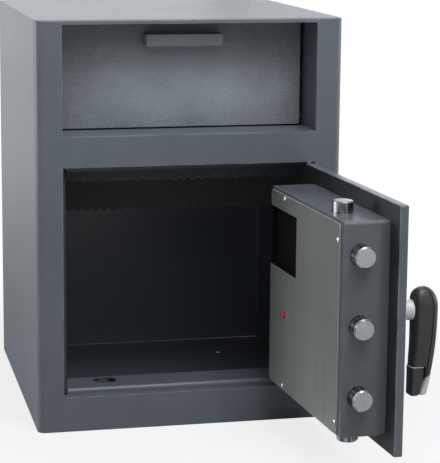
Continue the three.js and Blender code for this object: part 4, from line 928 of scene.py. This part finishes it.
def soft_block(rule, label, rim):
    """A rounded rectangle of a named size, pushed out, with a narrower top."""
    width, height, proud = rule.parts(label)
    quad = rule.node("GeometryNodeCurvePrimitiveQuadrilateral", (width, height), mode="RECTANGLE")
    corners = {"Curve": quad, "Count": 6, "Radius": rule.input("Corner")}
    outline = rule.node("GeometryNodeFilletCurve", corners, mode="POLY")
    filled = rule.node("GeometryNodeFillCurve", {"Curve": outline}, mode="NGONS")
    ends = ("Mesh", "Top")
    push = {"Mesh": filled, "Offset Scale": proud - rim}
    wall, top = rule.node("GeometryNodeExtrudeMesh", push, ends)
    push = {"Mesh": wall, "Selection": top, "Offset Scale": rim}
    lip, top = rule.node("GeometryNodeExtrudeMesh", push, ends)
    narrow = {"Geometry": lip, "Selection": top, "Scale": 0.95}
    narrowed = rule.node("GeometryNodeScaleElements", narrow)
    under = rule.node("GeometryNodeFlipFaces", {"Mesh": filled})
    return rule.welded(rule.joined(narrowed, under), SAME_PLACE / 2)


def key_rule():
    rule = Rule("keypad_mat", Mat="Vector", Key="Vector", Pitch="Vector", Corner="Float")
    pitch_x, pitch_y, _ = rule.parts("Pitch")
    points = rule.node("GeometryNodeMeshGrid", (pitch_x * 2.0, pitch_y * 3.0, 3, 4))
    keys = rule.set_on(points, soft_block(rule, "Key", KEY_RIM))
    keys = rule.moved(keys, Translation=rule.vector(z=rule.parts("Mat")[2] - KEY_SUNK))
    return rule.ends(rule.joined(soft_block(rule, "Mat", MAT_RIM), keys), keypad_rubber)


def keypad_mat():
    low, high = closed_box("keypad_membrane")
    piece = key_rule().made(
        "keypad_mat",
        Mat=(high.x - low.x, high.z - low.z, high.y - low.y - KEY_PROUD),
        Key=(*KEY_SIZE, KEY_PROUD + KEY_SUNK),
        Pitch=KEY_PITCH,
        Corner=KEY_CORNER,
    )
    stand = Matrix.Translation(((low.x + high.x) / 2, high.y, (low.z + high.z) / 2))
    piece.data.transform(TO_REST @ stand @ Matrix.Rotation(math.pi / 2, 4, "X"))
    evenly_shaded(piece)
    return handed_in(piece, BODY_OF["keypad_membrane"], "keypad_rubber", "keypad_membrane")


mat = keypad_mat()
print("faces of the keypad mat:", len(mat.data.polygons))

# %% [markdown]
# The lever hangs from a silver stem. It is moulded, with hardly a flat place: an arched head, an
# outer cap that runs down the lever and ends on a slant, a silver insert below that, and a separate
# sleeve with a bright ring at the end. Such a form is a loft: rounded sections stacked along its
# length, whose inner side, outer side and width are curves of the height, and whose parting line is
# a groove round each one.

# %% The lever's curves, with the door shut
STEM_LOW, STEM_HIGH = closed_box("handle_stem")
LEVER_LOW, LEVER_HIGH = closed_box("handle_lever")
SLEEVE_LOW, SLEEVE_HIGH = closed_box("handle_insert")
LEVER_X = (STEM_LOW.x + STEM_HIGH.x) / 2
LEVER_TOP = LEVER_HIGH.z + 0.8 * MM
ARCH_Y = -46 * MM
SHOULDER = 2.3
SLEEVE_EDGE = -46.8


def curve_through(*pairs):
    """A smooth curve through a few places, given as height and value in millimetres."""
    def value(height):
        h = height / MM
        i = max(1, min(len(pairs) - 1, sum(1 for p in pairs if p[0] <= h)))
        (x0, y0), (x1, y1) = pairs[i - 1], pairs[i]
        t = max(0.0, min(1.0, (h - x0) / (x1 - x0)))
        before = pairs[max(i - 2, 0)]
        after = pairs[min(i + 1, len(pairs) - 1)]
        m0 = (y1 - before[1]) / (x1 - before[0]) * (x1 - x0)
        m1 = (after[1] - y0) / (after[0] - x0) * (x1 - x0)
        a = (1 + 2 * t) * (1 - t) ** 2 * y0 + t * (1 - t) ** 2 * m0
        b = t * t * (3 - 2 * t) * y1 + t * t * (t - 1) * m1
        return (a + b) * MM
    return value


inner_side = curve_through(
    (95, -30.2), (130, -30.4), (155, -31.8), (180, -32.0), (205, -31.6), (215, -31.6)
)
outer_side = curve_through(
    (95, -50.0), (105, -52.7), (117, -54.9), (130, -57.3), (152, -59.8), (175, -61.0), (196, -61.3),
    (210, -61.3)
)
parting = curve_through(
    (95, -44.0), (110, -47.6), (128, -48.8), (138, -49.8), (155, -51.4), (171, -52.6),
    (194, -53.0), (206, -51.6), (213, -49), (219, -45)
)
half_width = curve_through(
    (95, 8.6), (110, 9.0), (130, 9.8), (160, 11.7), (190, 13.0), (200, 13.2), (212, 13.2)
)
sleeve_outer = curve_through(
    (90, -39.6), (98, -41.8), (115.5, SLEEVE_EDGE), (128.5, SLEEVE_EDGE), (135, SLEEVE_EDGE)
)


def arched(side, height, start):
    """A side of the lever that bends over to the top of its arch above the start height."""
    if height <= start:
        return side(height)
    share = (height - start) / (LEVER_TOP - start)
    return ARCH_Y + (side(start) - ARCH_Y) * math.sqrt(max(0.0, 1 - share**2))


def narrowed(height, start):
    """Half the lever's width, which closes round its arch above the start height."""
    if height <= start:
        return half_width(height)
    share = min(1.0, (height - start) / (LEVER_TOP - start))
    return half_width(start) * max(0.0, 1 - share**SHOULDER) ** (1 / SHOULDER)


print("the lever is", round((LEVER_TOP - SLEEVE_LOW.z) * 1000, 1), "mm long")

# %% The lever's sections
ROUNDNESS = 3.0
GROOVE_HALF = 0.8 * MM
GROOVE_DEPTH = 1.0 * MM
CAP_PROUD = 0.5 * MM
FULL_GROOVE_FROM = 9 * MM
STEEPEST = 0.98
GROOVE_FLOOR = (0.3, 0.7)
GRIP_STEPS, CAP_STEPS = 26, 22


def rounded_arc(middle, half_x, half_y, first, last, steps, roundness=ROUNDNESS):
    """Places on a rounded rectangle between two angles, where a quarter turn is its inner side."""
    places = []
    for i in range(steps + 1):
        angle = first + (last - first) * i / steps
        c, s = math.cos(angle), math.sin(angle)
        x = math.copysign(abs(c) ** (2 / roundness), c) * half_x
        y = math.copysign(abs(s) ** (2 / roundness), s) * half_y
        places.append((LEVER_X + x, middle + y))
    return places


def whole_section(inner, outer, half_x, steps, roundness):
    middle, half_y = (inner + outer) / 2, (inner - outer) / 2
    return rounded_arc(middle, half_x, half_y, 0, 2 * math.pi, steps, roundness)[:-1]


def grooved_section(inner, outer, seam, half_x):
    """One section of the lever: the grip's side, a groove, the cap's side and a groove."""
    middle = (inner + outer) / 2
    half_y = (inner - outer) / 2
    small = min(1.0, half_y / FULL_GROOVE_FROM, half_x / FULL_GROOVE_FROM)

    def angle_at(y):
        share = max(-STEEPEST, min(STEEPEST, (y - middle) / half_y))
        return math.asin(math.copysign(abs(share) ** (ROUNDNESS / 2), share))

    gap = GROOVE_HALF * small
    grip = angle_at(seam + gap)
    cap = angle_at(seam - gap)
    grip_side = rounded_arc(middle, half_x, half_y, grip, math.pi - grip, GRIP_STEPS)
    proud = half_x + CAP_PROUD * small
    cap_side = rounded_arc(middle, proud, half_y, math.pi - cap, 2 * math.pi + cap, CAP_STEPS)

    def groove(start, end):
        inward = -1 if start[0] > LEVER_X else 1
        near = min(start[0], end[0], key=lambda x: abs(x - LEVER_X))
        low = near + inward * GROOVE_DEPTH * small
        return [(low, start[1] * (1 - part) + end[1] * part) for part in GROOVE_FLOOR]

    return grip_side + groove(grip_side[-1], cap_side[0]) + cap_side + groove(cap_side[-1], grip_side[0])


def lofted(rings, name, top=None):
    """A closed mesh through rings of places with their heights."""
    shape = bmesh.new()
    rows = [[shape.verts.new(place) for place in ring] for ring in rings]
    count = len(rows[0])
    for low, high in zip(rows, rows[1:]):
        for i in range(count):
            shape.faces.new((low[i], low[(i + 1) % count], high[(i + 1) % count], high[i]))
    shape.faces.new(rows[0][::-1])
    if top:
        pole = shape.verts.new(top)
        for i in range(count):
            shape.faces.new((rows[-1][i], rows[-1][(i + 1) % count], pole))
    else:
        shape.faces.new(rows[-1])
    bmesh.ops.recalc_face_normals(shape, faces=shape.faces)
    return placed(shape, name)


print("points round one section:", len(grooved_section(-0.03, -0.06, -0.05, 0.013)))

# %% The lever's grip and cap
STRAIGHT_TOP = 200 * MM
STRAIGHT_STEPS, ARCH_STEPS = 40, 18
INNER_BEND, OUTER_BEND, WIDTH_BEND = 205 * MM, 196 * MM, 198 * MM
CAP_SLANT = 0.5
SLANT_REACH = 18 * MM
CAP_END = 4.5 * MM
SEAM_ROOM = 0.75 * MM
SLEEVE_GAP = 0.3 * MM
ROOM_BEYOND = 50 * MM
END_RIM = ((0.90, 1.0), (0.955, 0.62), (0.987, 0.22))


def lever_heights(low):
    """Heights of the sections, which crowd together towards the top of the arch."""
    straight = [low + (STRAIGHT_TOP - low) * i / STRAIGHT_STEPS for i in range(STRAIGHT_STEPS + 1)]
    turns = [math.pi / 2 * i / ARCH_STEPS for i in range(1, ARCH_STEPS)]
    return straight + [STRAIGHT_TOP + (LEVER_TOP - STRAIGHT_TOP) * math.sin(turn) for turn in turns]


def slanted(height, y, low):
    """Lowers the cap's end where it is nearer the door, over the last stretch of the lever."""
    reach = max(0.0, 1 - (height - low) / SLANT_REACH)
    return height - CAP_SLANT * (y - outer_side(low)) * reach


def sleeve_room():
    """A block that takes the sleeve's room out of the lever."""
    ends = (SLEEVE_LOW.z - ROOM_BEYOND, SLEEVE_HIGH.z + SLEEVE_GAP)
    edge = SLEEVE_EDGE * MM - SLEEVE_GAP
    corners = ((-ROOM_BEYOND, edge), (ROOM_BEYOND, edge), (ROOM_BEYOND, 0), (-ROOM_BEYOND, 0))
    return lofted([[(LEVER_X + x, y, z) for x, y in corners] for z in ends], "sleeve_room")


def lever():
    low = LEVER_LOW.z + CAP_END
    rings = []
    for height in lever_heights(low):
        inner = arched(inner_side, height, INNER_BEND)
        outer = arched(outer_side, height, OUTER_BEND)
        seam = min(max(parting(height), outer + SEAM_ROOM), inner - SEAM_ROOM)
        section = grooved_section(inner, outer, seam, narrowed(height, WIDTH_BEND))
        rings.append([(x, y, slanted(height, y, low)) for x, y in section])
    middle = Vector((LEVER_X, (inner_side(low) + outer_side(low)) / 2, 0))
    rim = []
    for share, drop in END_RIM:
        spots = [(middle.lerp(Vector((x, y, 0)), share), z) for x, y, z in rings[0]]
        rim.append([(spot.x, spot.y, z - drop * MM) for spot, z in spots])
    piece = lofted(rim + rings, "lever_finished", (LEVER_X, ARCH_Y, LEVER_TOP))
    combined(piece, sleeve_room(), "DIFFERENCE")
    return swung_out(piece, lever_plastic, BODY_OF["handle_lever"], "black_plastic", "handle_lever")


grip = lever()
print("faces of the lever:", len(grip.data.polygons))

# %% The sleeve at its end
HANDLE = BODY_OF["handle_insert"]
RING_HEIGHT = 0.8 * MM
RING_PROUD = 0.22 * MM
RING_BEVEL = 0.25 * MM
RING_LIP, RING_TUCK = 0.12 * MM, 0.1 * MM
SLEEVE_BEYOND = 3.0 * MM
SLEEVE_FOOT = 1.8 * MM
SLEEVE_PLAIN = 10 * MM
SLEEVE_INSET = 0.2 * MM
SLEEVE_SIDES, SLEEVE_ROUNDNESS = 72, 4.5
QUARTER_STEPS = 8
FINE_GROOVES = (7.4 * MM, 5.2 * MM, 3.0 * MM)
FINE_GROOVE = ((-0.45, 0.0), (-0.2, 0.28), (0.2, 0.28), (0.45, 0.0))


def rounded_foot(low, radius, steps):
    """Heights of a rounded end and how far its sections shrink there."""
    turns = [math.pi / 2 * i / QUARTER_STEPS for i in range(1, steps)]
    return [(low + radius * (1 - math.cos(a)), radius * (1 - math.sin(a))) for a in turns]


def sleeve_section(height, shrink):
    inner = inner_side(height) - shrink
    outer = sleeve_outer(height) + shrink
    half = half_width(height) - SLEEVE_INSET - shrink
    section = whole_section(inner, outer, half, SLEEVE_SIDES, SLEEVE_ROUNDNESS)
    return [(x, y, height) for x, y in section]


def sleeve():
    low = SLEEVE_LOW.z - SLEEVE_BEYOND
    marks = rounded_foot(low, SLEEVE_FOOT, QUARTER_STEPS)
    marks += [(low + SLEEVE_FOOT, 0.0), (low + SLEEVE_PLAIN, 0.0)]
    for down in FINE_GROOVES:
        marks += [(SLEEVE_HIGH.z - down + z * MM, deep * MM) for z, deep in FINE_GROOVE]
    marks.append((SLEEVE_HIGH.z - RING_HEIGHT, 0.0))
    piece = lofted([sleeve_section(*mark) for mark in marks], "lever_sleeve_finished")
    return swung_out(piece, lever_plastic, HANDLE, "black_plastic", "handle_insert")


def trim_ring():
    high = SLEEVE_HIGH.z
    low = high - RING_HEIGHT
    marks = [(low, RING_TUCK), (low, -RING_LIP), (low + RING_BEVEL, -RING_PROUD)]
    marks += [(high - RING_BEVEL, -RING_PROUD), (high, -RING_LIP)]
    piece = lofted([sleeve_section(*mark) for mark in marks], "lever_trim_ring")
    return swung_out(piece, satin_silver, HANDLE, "satin_silver")


end_sleeve = sleeve()
trim_ring()
print("faces of the sleeve:", len(end_sleeve.data.polygons))

# %% The silver insert
INSERT_BEYOND = 2.6 * MM
INSERT_FOOT = 2.2 * MM
INSERT_TOP = 4.1 * MM
INSERT_INNER, INSERT_OUTER, INSERT_INSET = 0.15 * MM, 0.5 * MM, 0.3 * MM
INSERT_SIDES, INSERT_ROUNDNESS = 56, 3.4
INSERT_STEPS = 6
INNER_SHRINK = 0.4


def silver_insert():
    """The bright wedge that goes on below the cap's slanted end, against the sleeve."""
    low = SLEEVE_LOW.z - INSERT_BEYOND
    top = LEVER_LOW.z + INSERT_TOP
    marks = rounded_foot(low, INSERT_FOOT, QUARTER_STEPS + 1)
    marks += [(low + (top - low) * i / INSERT_STEPS, 0.0) for i in range(1, INSERT_STEPS + 1)]
    rings = []
    for height, shrink in marks:
        inner = sleeve_outer(height) - INSERT_INNER - shrink * INNER_SHRINK
        outer = outer_side(height) + INSERT_OUTER + shrink
        half = half_width(height) - INSERT_INSET - shrink
        slant = CAP_SLANT * ((height - low) / (top - low)) ** 3
        section = whole_section(inner, outer, half, INSERT_SIDES, INSERT_ROUNDNESS)
        rings.append([(x, y, height - slant * (y - outer_side(top))) for x, y in section])
    piece = lofted(rings, "lever_silver_insert")
    return swung_out(piece, satin_silver, HANDLE, "satin_silver")


insert = silver_insert()
print("faces of the insert:", len(insert.data.polygons))

# %% [markdown]
# The reset button ends in a dome, like the head of a pin. It is made as a lathe would turn it, from
# a profile of radius and depth, with the door shut, and then swung out with the door.

# %% The reset button
BUTTON_SIDES = 28
DOME_STEPS = 7
DOME_HEIGHT = 2.6 * MM
DOME_BEYOND = 1.2 * MM
DOME_TURN = math.radians(84)


def domed_button():
    low, high = closed_box("reset_button")
    axis = (low + high) / 2
    radius = (high.x - low.x) / 2
    tip = high.y + DOME_BEYOND
    profile = [(radius, low.y)]
    for i in range(DOME_STEPS + 1):
        turn = DOME_TURN * i / DOME_STEPS
        profile.append((radius * math.cos(turn), tip - DOME_HEIGHT * (1 - math.sin(turn))))
    turns = [math.tau * i / BUTTON_SIDES for i in range(BUTTON_SIDES)]
    rings = [[(axis.x + r * math.cos(t), y, axis.z + r * math.sin(t)) for t in turns] for r, y in profile]
    piece = lofted(rings, "reset_button_domed")
    return swung_out(piece, red_plastic, BODY_OF["reset_button"], "red_plastic", "reset_button")


domed_button()
print("the reset button stands out by a dome of", round(DOME_HEIGHT / MM, 1), "mm")

# %% [markdown]
# The door plate is painted outside, and its inner face is painted darker, a painted shade. Every other
# solid has the right shape already and only needs its soft edges and its finish. The upright bolts get
# ground tips like the side ones.

# %% The door plate and the plainer pieces
EDGE_WIDTH = 0.45
EDGE_WIDTHS = {"cover_panel": 0.5, "hopper_pull": 0.8, "lock_case": 0.4, "hinge_washer": 0.3}

plainer = {}
for node in sorted(set(NODES) - DRESSED):
    plainer[node] = soft_copy(node, EDGE_WIDTHS.get(node, EDGE_WIDTH))

# Painted shade on the door plate's inner face.
faced(plainer["door_plate"], -DOOR_OUT, plate_back_paint)
faced(plainer["top_bolt"], Vector((0, 0, 1)), ground_face)
faced(plainer["bottom_bolt"], Vector((0, 0, -1)), ground_face)
print("pieces with soft edges:", len(plainer))

# %% [markdown]
# Seven soft lamps light the safe. The strongest stands low on the left, so the left side is the
# palest, and it stays below the top, which would mirror it. Two lamps overhead and one in front give
# the front its level, one on the right keeps the door's side from going black, and two weak ones
# behind light the back. Their sizes and powers were tried one by one against the photograph.

# %% Lamps
LIT_POINT = Vector((0.02, -0.12, 0.25))
LAMPS = {
    "left_lamp": ((-2.32, 0.51, 0.42), 1.1, 26),
    "top_lamp": ((0.00, -0.50, 1.50), 0.7, 2.5),
    "high_lamp": ((0.30, -1.00, 1.60), 0.7, 10.5),
    "front_lamp": ((0.02, -2.01, 1.73), 1.1, 8.5),
    "right_lamp": ((2.20, -0.30, 0.30), 1.1, 8),
    "rear_lamp": ((0.02, 2.23, 0.75), 1.1, 2.3),
    "low_rear_lamp": ((1.20, 2.10, 0.25), 1.1, 6),
}


def lamp(name, place, width, watts):
    """A square sheet of light that looks at the middle of the safe."""
    data = bpy.data.lights.new(name, "AREA")
    data.size = width
    data.energy = watts
    lit = in_scene(name, data)
    lit.visible_camera = False
    aimed = (LIT_POINT - Vector(place)).to_track_quat("-Z", "Y").to_matrix().to_4x4()
    lit.matrix_world = Matrix.Translation(place) @ aimed


for name, (place, width, watts) in LAMPS.items():
    lamp(name, place, width, watts)
print("lamps and their watts:", {name: watts for name, (_, _, watts) in LAMPS.items()})

# %% [markdown]
# The background comes from the floor and the world themselves: rays from the camera, and those
# mirrored by gloss or passed by glass, see plain white, while the light that falls on the safe
# stays level. Near the safe the floor still shows a soft shadow, and far from it only white.

# %% World and floor
WORLD_LEVEL = 0.02
FLOOR_SIZE = 12
SHADOW_SHARE = 0.2
SHADOW_REACH = (0.25, 0.75)
MIRROR_REACH = (0.5, 2.4)


def plain_world():
    world = bpy.data.worlds.new("studio_world")
    bpy.context.scene.world = world
    world.use_nodes = True
    sky = Network(world.node_tree, "ShaderNodeOutputWorld")
    camera_ray, gloss_ray, clear_ray = sky.rays()
    seen = (camera_ray + gloss_ray + clear_ray).clamped()
    strength = seen * (1 - WORLD_LEVEL) + WORLD_LEVEL
    sky.shows(sky.node("ShaderNodeBackground", {"Color": WHITE, "Strength": strength}))


def pale_floor():
    """A floor that the camera sees as white with a soft shadow, and that gives back less light."""
    sheet = Finish("pale_floor")
    camera_ray, gloss_ray, clear_ray = sheet.rays()
    mirrored = (gloss_ray + clear_ray).clamped()
    seen = (camera_ray + mirrored).clamped()
    away = sheet.node("ShaderNodeVectorMath", (sheet.place,), "Value", operation="LENGTH")
    grain = sheet.noise(30.0, 2.0, 0.5)
    white = sheet.mixed(grain, colour(247, 248, 248), colour(251, 252, 252))
    sheet.set(Base_Color=sheet.mixed(seen, colour(196, 197, 198), white), Roughness=0.9)
    glow = sheet.node("ShaderNodeEmission", {"Color": WHITE})
    plain = away.smooth(*SHADOW_REACH) * SHADOW_SHARE + (1 - SHADOW_SHARE)
    share = (plain * camera_ray + away.smooth(*MIRROR_REACH) * mirrored).clamped()
    sheet.shows(sheet.node("ShaderNodeMixShader", (share, sheet.coat, glow)))
    shape = bmesh.new()
    bmesh.ops.create_grid(shape, x_segments=1, y_segments=1, size=FLOOR_SIZE)
    floor = placed(shape, "pale_floor")
    painted(floor, sheet.material)


plain_world()
pale_floor()
bpy.context.scene.view_settings.view_transform = "Standard"
print("the floor is", 2 * FLOOR_SIZE, "metres wide")
